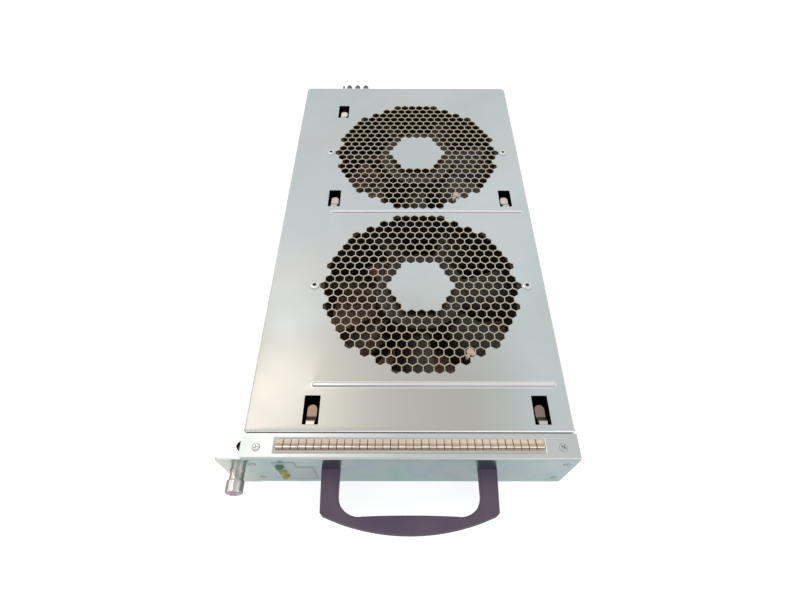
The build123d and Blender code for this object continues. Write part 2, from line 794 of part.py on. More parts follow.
def make_fan(name, centre_y):
    """One fan: frame with struts and bearing tube, motor, and impeller on its shaft."""
    base = Plane(origin=(fan_offset, centre_y, fan_base))

    with BuildPart() as frame:
        for level in (0, fan_depth - flange_thickness):
            with BuildSketch(base.offset(level)):
                RegularPolygon(fan_diameter / 2, large_sides)
                Rectangle(fan_diameter, fan_across_flats, mode=Mode.INTERSECT)
            extrude(amount=flange_thickness)
        with BuildSketch(base):
            RegularPolygon(bore_radius + barrel_wall, large_sides)
            Rectangle(fan_diameter, fan_across_flats, mode=Mode.INTERSECT)
        extrude(amount=fan_depth)
        with BuildSketch(base.offset(terminal_level)):
            with Locations((-bore_radius - terminal_depth / 2, 0)):
                Rectangle(terminal_depth, terminal_width)
        extrude(amount=terminal_height)
        with BuildSketch(base):
            RegularPolygon(bore_radius, large_sides, major_radius=False)
        extrude(amount=fan_depth, mode=Mode.SUBTRACT)
        # Motor base, struts and bearing tube
        with BuildSketch(base):
            RegularPolygon(motor_base_radius, large_sides)
            with PolarLocations(0, strut_count, start_angle=45):
                with Locations(((bore_radius + barrel_wall / 2) / 2, 0)):
                    Rectangle(bore_radius + barrel_wall / 2, strut_width)
        extrude(amount=motor_base_height)
        with BuildSketch(base):
            RegularPolygon(tube_radius, 2 * small_sides)
        extrude(amount=tube_height)
        with BuildSketch(base.offset(floor_thickness)):
            Circle(tube_bore / 2)
        extrude(amount=tube_height, mode=Mode.SUBTRACT)
        with BuildSketch(base):
            with GridLocations(fan_hole_circle, 1, 2, 1):
                RegularPolygon(rivet_shank / 2 + hole_clearance, small_sides)
        extrude(amount=fan_depth, mode=Mode.SUBTRACT)
    save(frame, f"{name}_fan_frame")

    with BuildPart() as bearings:
        with BuildSketch(base.offset(lower_bearing), base.offset(upper_bearing)):
            RegularPolygon(tube_bore / 2 - fit, 2 * small_sides)
            Circle(shaft_radius + running_fit, mode=Mode.SUBTRACT)
        extrude(amount=bearing_height)
    save(bearings, f"{name}_fan_bearings")

    with BuildPart() as board:
        with BuildSketch(base.offset(motor_board_level)):
            RegularPolygon(motor_base_radius - 2, 2 * small_sides)
            RegularPolygon(tube_radius + 0.4, 2 * small_sides, mode=Mode.SUBTRACT)
        extrude(amount=board_thickness)
    save(board, f"{name}_fan_board")

    with BuildPart() as stator:
        with BuildSketch(base.offset(stack_level)):
            RegularPolygon(stack_radius, large_sides)
            RegularPolygon(stack_radius - yoke_width, small_sides, major_radius=False, mode=Mode.SUBTRACT)
            with PolarLocations(stack_radius, pole_count, start_angle=180 / pole_count):
                Rectangle(2 * yoke_width, pole_gap, mode=Mode.SUBTRACT)
            RegularPolygon(tube_radius + yoke_hub, small_sides)
            with PolarLocations(stack_radius / 2, pole_count):
                Rectangle(stack_radius - yoke_width / 2, pole_width)
            Circle(tube_radius + fit, mode=Mode.SUBTRACT)
        extrude(amount=stack_height)
    save(stator, f"{name}_fan_stator")

    coil_inner = tube_radius + yoke_hub + 2 * fit
    coil_outer = math.sqrt((stack_radius - yoke_width - fit) ** 2 - (coil_width / 2) ** 2) - fit
    coil_spots = ((coil_inner + coil_outer) / 2, pole_count)
    with BuildPart() as windings:
        with BuildSketch(base.offset(stack_level - coil_overhang)):
            with PolarLocations(*coil_spots):
                Rectangle(coil_outer - coil_inner, coil_width)
        extrude(amount=stack_height + 2 * coil_overhang)
        with BuildSketch(base.offset(stack_level - fit)):
            with PolarLocations(*coil_spots):
                Rectangle(coil_outer - coil_inner + 1, pole_width + 2 * fit)
        extrude(amount=stack_height + 2 * fit, mode=Mode.SUBTRACT)
    save(windings, f"{name}_fan_windings")

    with BuildPart() as magnet:
        with BuildSketch(base.offset(stack_level - 2)):
            RegularPolygon(magnet_radius + magnet_wall - fit, large_sides)
            RegularPolygon(magnet_radius, 2 * small_sides, major_radius=False, mode=Mode.SUBTRACT)
        extrude(amount=stack_height + 4)
    save(magnet, f"{name}_fan_magnet")

    with BuildPart() as cup:
        turned(
            base,
            [
                (shaft_radius + fit, cup_top),
                (cup_radius, cup_top),
                (cup_radius, cup_bottom),
                (cup_radius - cup_wall, cup_bottom),
                (cup_radius - cup_wall, cup_top - cup_wall),
                (shaft_radius + fit, cup_top - cup_wall),
            ],
        )
    save(cup, f"{name}_fan_rotor_cup")

    with BuildPart() as shaft:
        turned(
            base,
            [
                (0, cup_top),
                (shaft_radius, cup_top),
                (shaft_radius, lower_bearing - 3),
                (0, lower_bearing - 3),
            ],
        )
    save(shaft, f"{name}_fan_shaft")

    with BuildPart() as clip:
        with BuildSketch(base.offset(lower_bearing - 1.2)):
            RegularPolygon(shaft_radius + 1.8, small_sides)
            Circle(shaft_radius + fit, mode=Mode.SUBTRACT)
        extrude(amount=0.8)
    save(clip, f"{name}_fan_clip")

    make_impeller(name, base)


def blade_section(base, radius, chord, angle, sweep):
    """The curved section of a blade, seen along the radius, on a plane at that radius."""
    middle = (cup_bottom + hub_top) / 2
    half = chord / 2
    across = Vector(0, 1, 0).rotate(Axis.X, angle)
    with BuildSketch(Plane(base.origin + Vector(radius, sweep, middle), across, (1, 0, 0))) as section:
        with BuildLine():
            ThreePointArc((-half, 0), (0, blade_camber + blade_thickness / 2), (half, 0))
            ThreePointArc((half, 0), (0, blade_camber - blade_thickness / 2), (-half, 0))
        make_face()
    return section.sketch


def make_impeller(name, base):
    """Moulded impeller: a hub pressed over the rotor cup and twisted, cambered blades."""
    with BuildPart() as one_blade:
        loft(
            [
                blade_section(base, hub_radius * 0.8, root_chord, root_angle, 0),
                blade_section(base, tip_radius + 2, tip_chord, tip_angle, tip_sweep),
            ],
            ruled=True,
        )
    with BuildPart() as impeller:
        for i in range(blade_count):
            add(one_blade.part.rotate(Axis(base.origin, (0, 0, 1)), i * 360 / blade_count))
        with BuildSketch(base):
            Circle(tip_radius)
        extrude(amount=fan_depth, mode=Mode.INTERSECT)
        with BuildSketch(base.offset(hub_top - hub_height)):
            RegularPolygon(hub_radius, large_sides)
        extrude(amount=hub_height)
        chamfer(impeller.faces().sort_by(Axis.Z)[-1].edges(), hub_wall / 2)
        with BuildSketch(base):
            RegularPolygon(cup_radius + fit, large_sides, major_radius=False)
        extrude(amount=cup_top, mode=Mode.SUBTRACT)
    save(impeller, f"{name}_fan_impeller")


for fan_name, fan_centre in fan_y.items():
    make_fan(fan_name, fan_centre)

# Rear connector: housing in the rear wall, three contact sleeves with sockets, key blade, screws
outside = Plane(origin=(0, pan_rear, connector_z), x_dir=(-1, 0, 0), z_dir=(0, 1, 0))
sleeve_xs = [-(connector_x + i * sleeve_pitch) for i in (-1, 0, 1)]

with BuildPart() as connector_housing:
    with BuildSketch(outside.offset(-sheet - housing_depth)):
        with Locations((-housing_x, 0)):
            Rectangle(housing_width, housing_height)
    extrude(amount=sheet + housing_depth)
    with BuildSketch(outside) as plate:
        with Locations((-housing_x, 0)):
            Rectangle(flange_width, housing_height)
        fillet(plate.vertices(), corner_radius / 2)
    extrude(amount=flange_plate)
    with BuildSketch(outside.offset(flange_plate)):
        with Locations((blade_offset - connector_x, 0)):
            Rectangle(key_thickness, key_height)
    extrude(amount=key_reach - flange_plate)
    with BuildSketch(outside.offset(flange_plate)):
        with Locations(*[(x, 0) for x in sleeve_xs]):
            RegularPolygon(sleeve_diameter / 2 + fit, 2 * small_sides)
    extrude(amount=-housing_depth * 0.75, mode=Mode.SUBTRACT)
    with BuildSketch(outside):
        with Locations((-housing_x, 0)):
            with GridLocations(connector_screw_spacing, 1, 2, 1):
                RegularPolygon(connector_screw / 2 + hole_clearance, small_sides)
    extrude(amount=flange_plate, mode=Mode.SUBTRACT)
save(connector_housing, "connector_housing")

sleeve_foot = flange_plate - housing_depth * 0.75
with BuildPart() as connector_sleeves:
    with BuildSketch(outside.offset(sleeve_foot)):
        with Locations(*[(x, 0) for x in sleeve_xs]):
            RegularPolygon(sleeve_diameter / 2, 2 * small_sides)
    extrude(amount=sleeve_reach - sleeve_foot)
    with BuildSketch(outside.offset(sleeve_foot + 2)):
        with Locations(*[(x, 0) for x in sleeve_xs]):
            RegularPolygon(sleeve_bore / 2, small_sides)
    extrude(amount=sleeve_reach - sleeve_foot, mode=Mode.SUBTRACT)
save(connector_sleeves, "connector_sleeves")

with BuildPart() as connector_sockets:
    with BuildSketch(outside.offset(sleeve_foot + 2)):
        with Locations(*[(x, 0) for x in sleeve_xs]):
            RegularPolygon(sleeve_bore / 2 - fit, small_sides)
    extrude(amount=sleeve_reach - socket_setback - sleeve_foot - 2)
    with BuildSketch(outside.offset(sleeve_reach - socket_setback)):
        with Locations(*[(x, 0) for x in sleeve_xs]):
            RegularPolygon(socket_bore / 2, small_sides)
    extrude(amount=-socket_depth, mode=Mode.SUBTRACT)
save(connector_sockets, "connector_sockets")

with BuildPart() as connector_screws:
    for side in (-1, 1):
        screw_spot = (housing_x + side * connector_screw_spacing / 2, pan_rear + flange_plate, connector_z)
        seat = Plane(origin=screw_spot, x_dir=outside.x_dir, z_dir=outside.z_dir)
        post(seat, connector_screw / 2, -flange_plate - 4 * sheet, 0)
        post(seat, connector_screw * 0.95, 0, connector_screw * 0.6, taper=12)
save(connector_screws, "connector_screws")
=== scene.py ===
import json
import math
from types import SimpleNamespace

import bmesh
import bpy
from mathutils import Matrix, Vector
from mathutils.geometry import delaunay_2d_cdt


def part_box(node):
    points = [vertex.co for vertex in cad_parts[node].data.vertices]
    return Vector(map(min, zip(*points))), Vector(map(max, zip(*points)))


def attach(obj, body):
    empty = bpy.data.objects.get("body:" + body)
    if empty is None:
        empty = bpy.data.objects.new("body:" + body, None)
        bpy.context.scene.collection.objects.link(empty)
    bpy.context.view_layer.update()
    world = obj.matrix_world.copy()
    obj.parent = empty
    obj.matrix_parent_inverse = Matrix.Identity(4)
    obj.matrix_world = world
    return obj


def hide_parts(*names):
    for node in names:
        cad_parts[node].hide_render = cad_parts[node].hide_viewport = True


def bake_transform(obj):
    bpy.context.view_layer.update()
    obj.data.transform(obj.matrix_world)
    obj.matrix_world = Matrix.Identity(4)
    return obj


bl_info = {
    "name": "Fan Tray Dressing",
    "version": (1, 0, 0),
    "blender": (4, 5, 0),
    "location": "3D View > Sidebar > Fan Tray",
    "description": "Dresses a slide-in server fan tray: sheet, grilles, handle, screws, lamps and fans",
    "category": "Object",
}

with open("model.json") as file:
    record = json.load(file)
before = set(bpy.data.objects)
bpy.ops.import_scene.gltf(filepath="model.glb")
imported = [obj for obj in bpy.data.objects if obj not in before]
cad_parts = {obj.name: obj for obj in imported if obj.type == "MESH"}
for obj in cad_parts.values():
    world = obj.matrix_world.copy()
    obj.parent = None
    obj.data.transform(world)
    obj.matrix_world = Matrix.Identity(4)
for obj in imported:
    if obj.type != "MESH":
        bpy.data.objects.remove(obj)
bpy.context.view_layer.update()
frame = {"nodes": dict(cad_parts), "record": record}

MM = 0.001


def srgb(red, green, blue):
    """A colour written as 0 to 255, turned into the linear values that shaders use."""
    values = []
    for channel in (red, green, blue):
        share = channel / 255
        values.append(share / 12.92 if share <= 0.04045 else ((share + 0.055) / 1.055) ** 2.4)
    return (*values, 1.0)


def node_box(node):
    """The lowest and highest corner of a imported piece, in millimetres."""
    low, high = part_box(node)
    return Vector(low) / MM, Vector(high) / MM


def length_property(label, about, default_mm, low_mm=0.01, high_mm=500.0):
    """A size in metres that is written here in millimetres."""
    return bpy.props.FloatProperty(
        name=label, description=about, default=default_mm * MM, min=low_mm * MM, max=high_mm * MM,
        unit="LENGTH", subtype="DISTANCE", precision=5,
    )


def number_property(label, about, default, **limits):
    """A plain number, or one with a unit or subtype."""
    return bpy.props.FloatProperty(name=label, description=about, default=default, **limits)


def factor_property(label, about, default):
    """A share from 0 to 1."""
    return number_property(label, about, default, min=0.0, max=1.0, subtype="FACTOR")


def colour_property(label, about, default):
    """A linear colour with alpha."""
    return bpy.props.FloatVectorProperty(
        name=label, description=about, default=default, size=4, min=0.0, max=1.0, subtype="COLOR",
    )


# Settings

class CoverSettings(bpy.types.PropertyGroup):
    """Sizes and colours of the cover sheet"""

    sheet: length_property("Sheet", "Thickness of the sheet", 1.2)
    bend: length_property("Bend radius", "Outer radius of the side folds", 1.6)
    corner: length_property("Corner radius", "Radius of the rear corners", 5.0)
    flange: length_property("Flange", "Depth of the side and rear folds", 12.0)
    pitch: length_property("Cell pitch", "Distance between grille cells", 7.35)
    flats: length_property("Cell width", "Width of a cell across its flats", 6.35)
    edge_break: length_property("Edge break", "Small bevel round each cell", 0.33)
    blind_middle: number_property(
        "Blind middle", "Radius of the closed middle, in pitches", 3.2, min=0.0, max=9.0,
    )
    rim: number_property("Grille rim", "Radius of the grille, in pitches", 9.9, min=3.0, max=12.0)
    window_width: length_property("Window width", "Width of each window with a hook", 10.2)
    window_length: length_property("Window length", "Length of each window with a hook", 19.6)
    bead_length: length_property("Bead length", "Length of each raised bead", 164.5)
    bead_width: length_property("Bead width", "Width of each raised bead", 5.5)
    bead_height: length_property("Bead height", "Rise of each bead over the sheet", 1.1)
    seam: length_property("Seam", "Gap between the cover and the panel", 0.6)
    zinc: colour_property("Zinc", "Colour of the plated sheet", srgb(190, 196, 199))
    bloom: colour_property("Bloom", "Colour of the plating's cloudy patches", srgb(176, 190, 190))
    warm: colour_property("Warm bloom", "Colour of the plating's warmer patches", srgb(196, 192, 184))
    worn: colour_property("Darker tone", "Colour of the plating at the darkened front end", srgb(171, 170, 164))
    # Painted highlight laid on the folds and the beads
    burnished: colour_property("Bend highlight", "Colour of the folds and the beads' feet", srgb(238, 237, 234))
    # Painted shade on the beads' front flanks
    flank: colour_property("Flank", "Colour of the beads' front flanks", srgb(162, 163, 168))
    cut: colour_property("Cut edge", "Colour of the bare cut edges", srgb(178, 156, 120))
    # Painted shade on the bent-down part of the hooks
    tongue: colour_property("Tongue", "Colour of the hooks where they are bent down", srgb(134, 114, 100))
    # Painted highlight on the bent-down part of the rearmost hook
    rear_tongue: colour_property("Rear tongue", "The same on the rearmost hook", srgb(240, 233, 226))
    wear_start: number_property("Darkening start", "Where the darkened end begins", -0.045, unit="LENGTH")
    wear_end: number_property("Darkening end", "Where the change is complete", -0.135, unit="LENGTH")


class PanelSettings(bpy.types.PropertyGroup):
    """Colours of the front panel and its contact strips"""

    edge_break: length_property("Edge break", "Small bevel on the panel's edges", 0.25)
    finger_pitch: length_property("Finger pitch", "Distance between contact fingers", 4.75)
    finger_slit: length_property("Finger slit", "Gap between contact fingers", 0.45)
    side_bow: length_property("Side bow", "How far the side strip's fingers stand out", 3.0)
    side_lift: length_property("Side lift", "How far the side strip sits above its middle", 1.7)
    face: colour_property("Face", "Colour of the glossy front sheet", srgb(188, 191, 190))
    tint: colour_property("Tint", "Colour of the front sheet's patches", srgb(168, 182, 184))
    ear: colour_property("Ear", "Paler, warmer colour of the face at the ear", srgb(200, 198, 182))
    film_teal: colour_property("Teal film", "Greenest tint of the sheet's thin film", srgb(190, 234, 228))
    film_pale: colour_property("Pale film", "Palest tint of the sheet's thin film", srgb(216, 238, 238))
    film_blue: colour_property("Blue film", "Bluest tint of the sheet's thin film", srgb(204, 230, 244))
    film_rosy: colour_property("Rosy film", "Warmest tint of the sheet's thin film", srgb(226, 236, 239))
    finger: colour_property("Fingers", "Colour of the tinned strip", srgb(207, 188, 174))
    # Painted shade band on the fingers between their rear slope and crease
    rubbed: colour_property("Shade band", "Colour of the fingers between slope and crease", srgb(174, 154, 132))
    # Painted shade on faces turned to +X: the side fingers' inner side and one wall of each slit
    inner: colour_property("Inner side", "Colour of the fingers' inner side", srgb(190, 150, 126))
    slit: colour_property("Slits", "Colour of the shaded tape under the fingers", srgb(66, 52, 46))
    # Painted highlight on the fingers' crease
    crease: colour_property("Crease", "Colour of the rubbed crease", srgb(244, 232, 226))
    # Painted shade on the fingers' front slope
    tarnish: colour_property("Front slope shade", "Colour of the fingers' front slope", srgb(146, 130, 118))
    tape: colour_property("Tape", "Colour of the tape under the fingers", srgb(198, 198, 188))
    label: colour_property("Label", "Colour of the bare label", srgb(158, 176, 178))
    label_line: colour_property("Label line", "Colour of the label's outline", srgb(118, 122, 126))


class HandleSettings(bpy.types.PropertyGroup):
    """Shape and colour of the pull handle"""

    leg: length_property("Leg width", "Width of each leg at the panel", 11.4)
    taper: length_property("Taper", "How much each side leans in over its length", 1.2)
    side_reach: length_property("Side reach", "How far the straight sides stand out", 26.7)
    gap_reach: length_property("Finger gap", "Depth of the gap for the fingers", 27.5)
    bow: length_property("Bow", "Bow of the gap's front side", 1.5)
    inner_radius: length_property("Inner corners", "Radius of the gap's corners", 14.0)
    outer_radius: length_property("Outer corners", "Radius of the outer corners", 1.4)
    grip_edge: length_property("Grip rounding", "Rounding on the finger side", 4.6)
    outer_edge: length_property("Outer rounding", "Rounding on the outside", 1.8)
    plastic: colour_property("Plastic", "Colour of the moulding", srgb(94, 81, 103))
    shade: colour_property("Shade", "Colour of its slightly darker patches", srgb(84, 74, 94))
    blush: colour_property("Blush", "Colour of its slightly warmer patches", srgb(102, 87, 103))
    # Painted shade where the handle turns to the front
    underside: colour_property("Front edge", "Colour where it turns to the front", srgb(64, 50, 66))


class ScrewSettings(bpy.types.PropertyGroup):
    """Shape and colour of the thumbscrew and fasteners"""

    knurls: bpy.props.IntProperty(
        name="Knurls", description="Fine ridges round the knob", default=72, min=12, max=120,
    )
    knurl_depth: length_property("Knurl depth", "Depth of the knob's ridges", 0.02)
    nickel: colour_property("Nickel", "Colour of the polished knob", srgb(238, 231, 229))
    # Painted shade: a darker, pinkish copy of the knob's metal for its front end
    knob_front: colour_property("Knob front", "Colour of the knob's front end", srgb(162, 148, 158))
    dull: colour_property("Dull rivet", "Colour of the rivets in the face", srgb(172, 172, 170))
    steel: colour_property("Steel", "Colour of plated screws", srgb(186, 186, 184))
    rivet: colour_property("Rivet", "Colour of the blind rivets", srgb(205, 206, 206))


class LampSettings(bpy.types.PropertyGroup):
    """Colours of the status lamps"""

    ready: colour_property("Ready", "Lens colour of the upper lamp", srgb(34, 118, 66))
    fault: colour_property("Fault", "Lens colour of the two lower lamps", srgb(168, 164, 42))


class FanSettings(bpy.types.PropertyGroup):
    """Shape and colours of the fans"""

    blades: bpy.props.IntProperty(
        name="Blades", description="Blades of each impeller", default=7, min=3, max=12,
    )
    root_chord: length_property("Root chord", "Blade width at the hub", 34.0)
    tip_chord: length_property("Tip chord", "Blade width at the tip", 44.0)
    tip_sweep: length_property("Tip sweep", "How far the tip leads the root", 9.0)
    root_angle: number_property("Root angle", "Slope at the hub", math.radians(50), subtype="ANGLE")
    tip_angle: number_property("Tip angle", "Slope at the tip", math.radians(32), subtype="ANGLE")
    camber: length_property("Camber", "Curve of a blade's section", 3.0)
    thickness: length_property("Blade thickness", "Thickness in the middle of a blade", 2.2)
    impeller: colour_property("Impeller", "Colour of the moulded impeller", srgb(46, 35, 26))
    paint: colour_property("Frame paint", "Colour of the fan frames", srgb(34, 27, 20))
    tie: colour_property("Cable ties", "Colour of the natural nylon ties", srgb(206, 186, 168))


class StageSettings(bpy.types.PropertyGroup):
    """Camera, light and floor"""

    lens: number_property("Lens", "Focal length", 21.7, min=5.0, max=200.0, unit="CAMERA")
    downward: number_property("Downward angle", "How far the camera looks down", 0.97130, subtype="ANGLE")
    place: bpy.props.FloatVectorProperty(
        name="Camera place", description="Where the camera stands", default=(-0.00650, -0.28149, 0.35058),
        size=3, subtype="TRANSLATION", unit="LENGTH",
    )
    key_power: number_property("Key lamp", "Power of the large lamp", 1.3, min=0.0, unit="POWER")
    fill_power: number_property("Fill lamp", "Power of the fill lamp", 1.0, min=0.0, unit="POWER")
    rear_power: number_property("Rear lamp", "Power of the soft rear lamp", 0.16, min=0.0, unit="POWER")
    sky: factor_property("Sky", "Level of the surrounding light", 0.72)
    floor_colour: colour_property("Floor", "Colour of the plain floor", srgb(245, 245, 245))
    # Painted shade: a browner, darker floor colour under the tray
    under_tray: colour_property("Under the tray", "Colour of the floor under the tray", srgb(205, 165, 145))
    key_colour: colour_property("Key colour", "Colour of the large lamp", (1.0, 0.93, 0.86, 1.0))
    floor_glow: factor_property("Floor glow", "Lift of the floor to white", 0.56)
    floor_reflected: factor_property("Reflected glow", "The same lift as reflections show it", 0.30)
    swing: number_property("Swing", "Turn to the side", -0.0010, subtype="ANGLE")
    tilt: number_property("Tilt", "Turn round the view line", 0.0018, subtype="ANGLE")


class TraySettings(bpy.types.PropertyGroup):
    """All settings of the fan tray"""

    cover: bpy.props.PointerProperty(type=CoverSettings)
    panel: bpy.props.PointerProperty(type=PanelSettings)
    handle: bpy.props.PointerProperty(type=HandleSettings)
    screws: bpy.props.PointerProperty(type=ScrewSettings)
    lamps: bpy.props.PointerProperty(type=LampSettings)
    fans: bpy.props.PointerProperty(type=FanSettings)
    stage: bpy.props.PointerProperty(type=StageSettings)


def settings():
    """All settings of the tray."""
    return bpy.context.scene.fan_tray


def in_mm(group):
    """The lengths of a settings group in millimetres, by name."""
    entries = [entry for entry in group.bl_rna.properties if getattr(entry, "unit", "") == "LENGTH"]
    return SimpleNamespace(**{entry.identifier: getattr(group, entry.identifier) / MM for entry in entries})


# Shader groups

COLOUR, NUMBER, VECTOR = "NodeSocketColor", "NodeSocketFloat", "NodeSocketVector"
GREY = (0.5, 0.5, 0.5, 1)


def fit_node(tree, kind, sockets=None, **options):
    """Add a node, set its options, and link or fill its input sockets."""
    node = tree.nodes.new(kind)
    for option, value in options.items():
        setattr(node, option, value)
    for key, value in (sockets or {}).items():
        if isinstance(value, bpy.types.NodeSocket):
            tree.links.new(value, node.inputs[key])
        else:
            node.inputs[key].default_value = value
    return node


def coordinates(tree, kind="Object"):
    """Where a point of the surface lies, or with "Normal" which way it faces."""
    return tree.nodes.new("ShaderNodeTexCoord").outputs[kind]


def axes(tree, kind="Object"):
    """The same, split into X, Y and Z."""
    return fit_node(tree, "ShaderNodeSeparateXYZ", {"Vector": coordinates(tree, kind)}).outputs


def noise(tree, vector, scale, detail, roughness=0.5, distortion=0.0):
    """Soft noise from 0 to 1."""
    return fit_node(tree, "ShaderNodeTexNoise", {
        "Vector": vector, "Scale": scale, "Detail": detail, "Roughness": roughness, "Distortion": distortion,
    }).outputs["Fac"]


def fade(tree, value, start, end, full=1.0, soft=False):
    """A mask that goes from 0 where the value is start to full where it is end."""
    return fit_node(
        tree, "ShaderNodeMapRange", {"Value": value, "From Min": start, "From Max": end, "To Max": full},
        interpolation_type="SMOOTHSTEP" if soft else "LINEAR",
    ).outputs[0]


def spread(tree, value, low, high):
    """Map a 0 to 1 value onto a range."""
    return fit_node(tree, "ShaderNodeMapRange", {"Value": value, "To Min": low, "To Max": high}).outputs[0]


def combine(tree, operation, first, second=0.0):
    """Two values, or one, put through a Math node."""
    return fit_node(tree, "ShaderNodeMath", {0: first, 1: second}, operation=operation).outputs[0]


def blend_colours(tree, factor, first, second, mode="MIX"):
    """Mix two colours by a factor."""
    return fit_node(
        tree, "ShaderNodeMix", {0: factor, 6: first, 7: second}, data_type="RGBA", blend_type=mode,
    ).outputs[2]


def colour_ramp(tree, value, stops):
    """Colours along a value from 0 to 1, given as (place, colour) in order."""
    ramp = fit_node(tree, "ShaderNodeValToRGB", {"Fac": value})
    elements = ramp.color_ramp.elements
    for element, (place, colour) in zip(elements[:], (stops[0], stops[-1])):
        element.position, element.color = place, colour
    for place, colour in stops[1:-1]:
        elements.new(place).color = colour
    return ramp.outputs["Color"]


def start_group(name, inputs, outputs):
    """A shader group with named sockets: inputs are (name, kind, default), outputs are (name, kind)."""
    tree = bpy.data.node_groups.new(name, "ShaderNodeTree")
    for label, kind, default in inputs:
        tree.interface.new_socket(label, in_out="INPUT", socket_type=kind).default_value = default
    for label, kind in outputs:
        tree.interface.new_socket(label, in_out="OUTPUT", socket_type=kind)
    return tree, tree.nodes.new("NodeGroupInput").outputs, tree.nodes.new("NodeGroupOutput")


def put_out(tree, result, values):
    """Link values to a group's outputs by name, and return the group."""
    for name, value in values.items():
        tree.links.new(value, result.inputs[name])
    return tree


def cloud_group():
    """Soft patches that drift between three colours, as on passivated plating."""
    tree, given, result = start_group(
        "Plating Clouds",
        [
            ("Base", COLOUR, GREY), ("Cool Patch", COLOUR, GREY), ("Warm Patch", COLOUR, GREY),
            ("Patch Scale", NUMBER, 14.0), ("Amount", NUMBER, 0.6),
        ],
        [("Color", COLOUR), ("Patches", NUMBER)],
    )
    place, scale, amount = coordinates(tree), given["Patch Scale"], given["Amount"]
    cool = fade(tree, noise(tree, place, scale, 3.0, 0.6, 0.4), 0.40, 0.66, amount)
    shifted = fit_node(tree, "ShaderNodeMapping", {"Vector": place, "Location": (3.1, 1.7, 0.4)})
    warm = fade(tree, noise(tree, shifted.outputs[0], scale, 2.0), 0.48, 0.72, amount)
    with_cool = blend_colours(tree, cool, given["Base"], given["Cool Patch"])
    return put_out(tree, result, {
        "Color": blend_colours(tree, warm, with_cool, given["Warm Patch"]), "Patches": cool,
    })


def grain_group():
    """Fine rolled grain, drawn out along one direction."""
    tree, given, result = start_group(
        "Rolled Grain",
        [("Grain Scale", NUMBER, 900.0), ("Draw", VECTOR, (1.0, 0.05, 1.0))],
        [("Height", NUMBER)],
    )
    drawn = fit_node(tree, "ShaderNodeMapping", {"Vector": coordinates(tree), "Scale": given["Draw"]})
    return put_out(tree, result, {"Height": noise(tree, drawn.outputs[0], given["Grain Scale"], 4.0, 0.65)})


def scuff_group():
    """Thin scattered rub marks, as a mask."""
    tree, given, result = start_group(
        "Rub Marks", [("Mark Scale", NUMBER, 60.0), ("Share", NUMBER, 0.5)], [("Mask", NUMBER)],
    )
    slanted = fit_node(
        tree, "ShaderNodeMapping",
        {"Vector": coordinates(tree), "Rotation": (0.3, 0.2, 0.9), "Scale": (1.0, 14.0, 1.0)},
    )
    lines = noise(tree, slanted.outputs[0], given["Mark Scale"], 5.0, 0.7)
    return put_out(tree, result, {"Mask": fade(tree, lines, 0.60, 0.74, given["Share"])})


def darker_front_group():
    """A soft, uneven change from one end to the other, as a mask that is weaker on the right."""
    tree, given, result = start_group(
        "Darker Front End", [("Start", NUMBER, 0.0), ("End", NUMBER, -0.1)], [("Mask", NUMBER)],
    )
    place = axes(tree)
    drift = spread(tree, noise(tree, coordinates(tree), 9.0, 2.0), -0.05, 0.05)
    along = fade(tree, combine(tree, "ADD", place["Y"], drift), given["Start"], given["End"], soft=True)
    inner = fade(tree, place["X"], 98.0 * MM, 30.0 * MM, soft=True)
    return put_out(tree, result, {"Mask": combine(tree, "MULTIPLY", along, inner)})


def bend_group():
    """Where a level sheet is folded or pressed out of its plane, as masks."""
    tree, given, result = start_group(
        "Bent Places",
        [("Reach", NUMBER, 0.13), ("Sheet Top", NUMBER, 0.05)],
        [("Mask", NUMBER), ("Front Flank", NUMBER)],
    )
    level = 0.985
    facing = axes(tree, "Normal")
    leaning = fade(tree, facing["Z"], level, combine(tree, "SUBTRACT", level, given["Reach"]))
    folded = combine(tree, "MULTIPLY", leaning, fade(tree, facing["Z"], 0.03, 0.18))
    above = combine(tree, "SUBTRACT", axes(tree)["Z"], given["Sheet Top"])
    pressed = fade(tree, above, 0.0, 0.06 * MM, 0.5)
    raised = fade(tree, above, 0.08 * MM, 0.14 * MM)
    # Mask carries the painted highlight of folds and beads, Front Flank the painted shade of the beads' front
    # flanks
    return put_out(tree, result, {
        "Mask": combine(tree, "MAXIMUM", folded, pressed),
        "Front Flank": combine(tree, "MULTIPLY", raised, fade(tree, facing["Y"], -0.22, -0.4)),
    })


def mould_group():
    """Fine spark-eroded texture of moulded plastic."""
    tree, given, result = start_group(
        "Moulded Texture",
        [("Grain Scale", NUMBER, 1400.0), ("Mottle Scale", NUMBER, 120.0)],
        [("Height", NUMBER), ("Mottle", NUMBER)],
    )
    place = coordinates(tree)
    return put_out(tree, result, {
        "Height": noise(tree, place, given["Grain Scale"], 2.0),
        "Mottle": noise(tree, place, given["Mottle Scale"], 3.0, 0.6),
    })


GROUP_MAKERS = {
    "clouds": cloud_group, "grain": grain_group, "scuffs": scuff_group, "mould": mould_group,
    "darker_front": darker_front_group, "bends": bend_group,
}
groups = {}


def use_group(tree, name, sockets):
    """Place a shader group, building it on first use, and return its outputs."""
    if name not in groups:
        groups[name] = GROUP_MAKERS[name]()
    return fit_node(tree, "ShaderNodeGroup", sockets, node_tree=groups[name]).outputs


# Materials

def facing_away(tree):
    """From 0 where the surface faces the viewer to 1 at its rim."""
    return fit_node(tree, "ShaderNodeLayerWeight", {"Blend": 0.5}).outputs["Facing"]


def start_material(name, **shader):
    """A new material; shader values are set straight on the Principled BSDF's own sockets."""
    material = bpy.data.materials.new(name)
    material.use_nodes = True
    tree = material.node_tree
    bsdf = tree.nodes["Principled BSDF"]
    for key, value in shader.items():
        bsdf.inputs[key.replace("_", " ").title().replace("Ior", "IOR")].default_value = value
    return material, tree, bsdf


def scaled(colour, factor):
    """A colour made darker, or paler up to white."""
    return [min(1.0, channel * factor) for channel in colour[:3]] + [1.0]


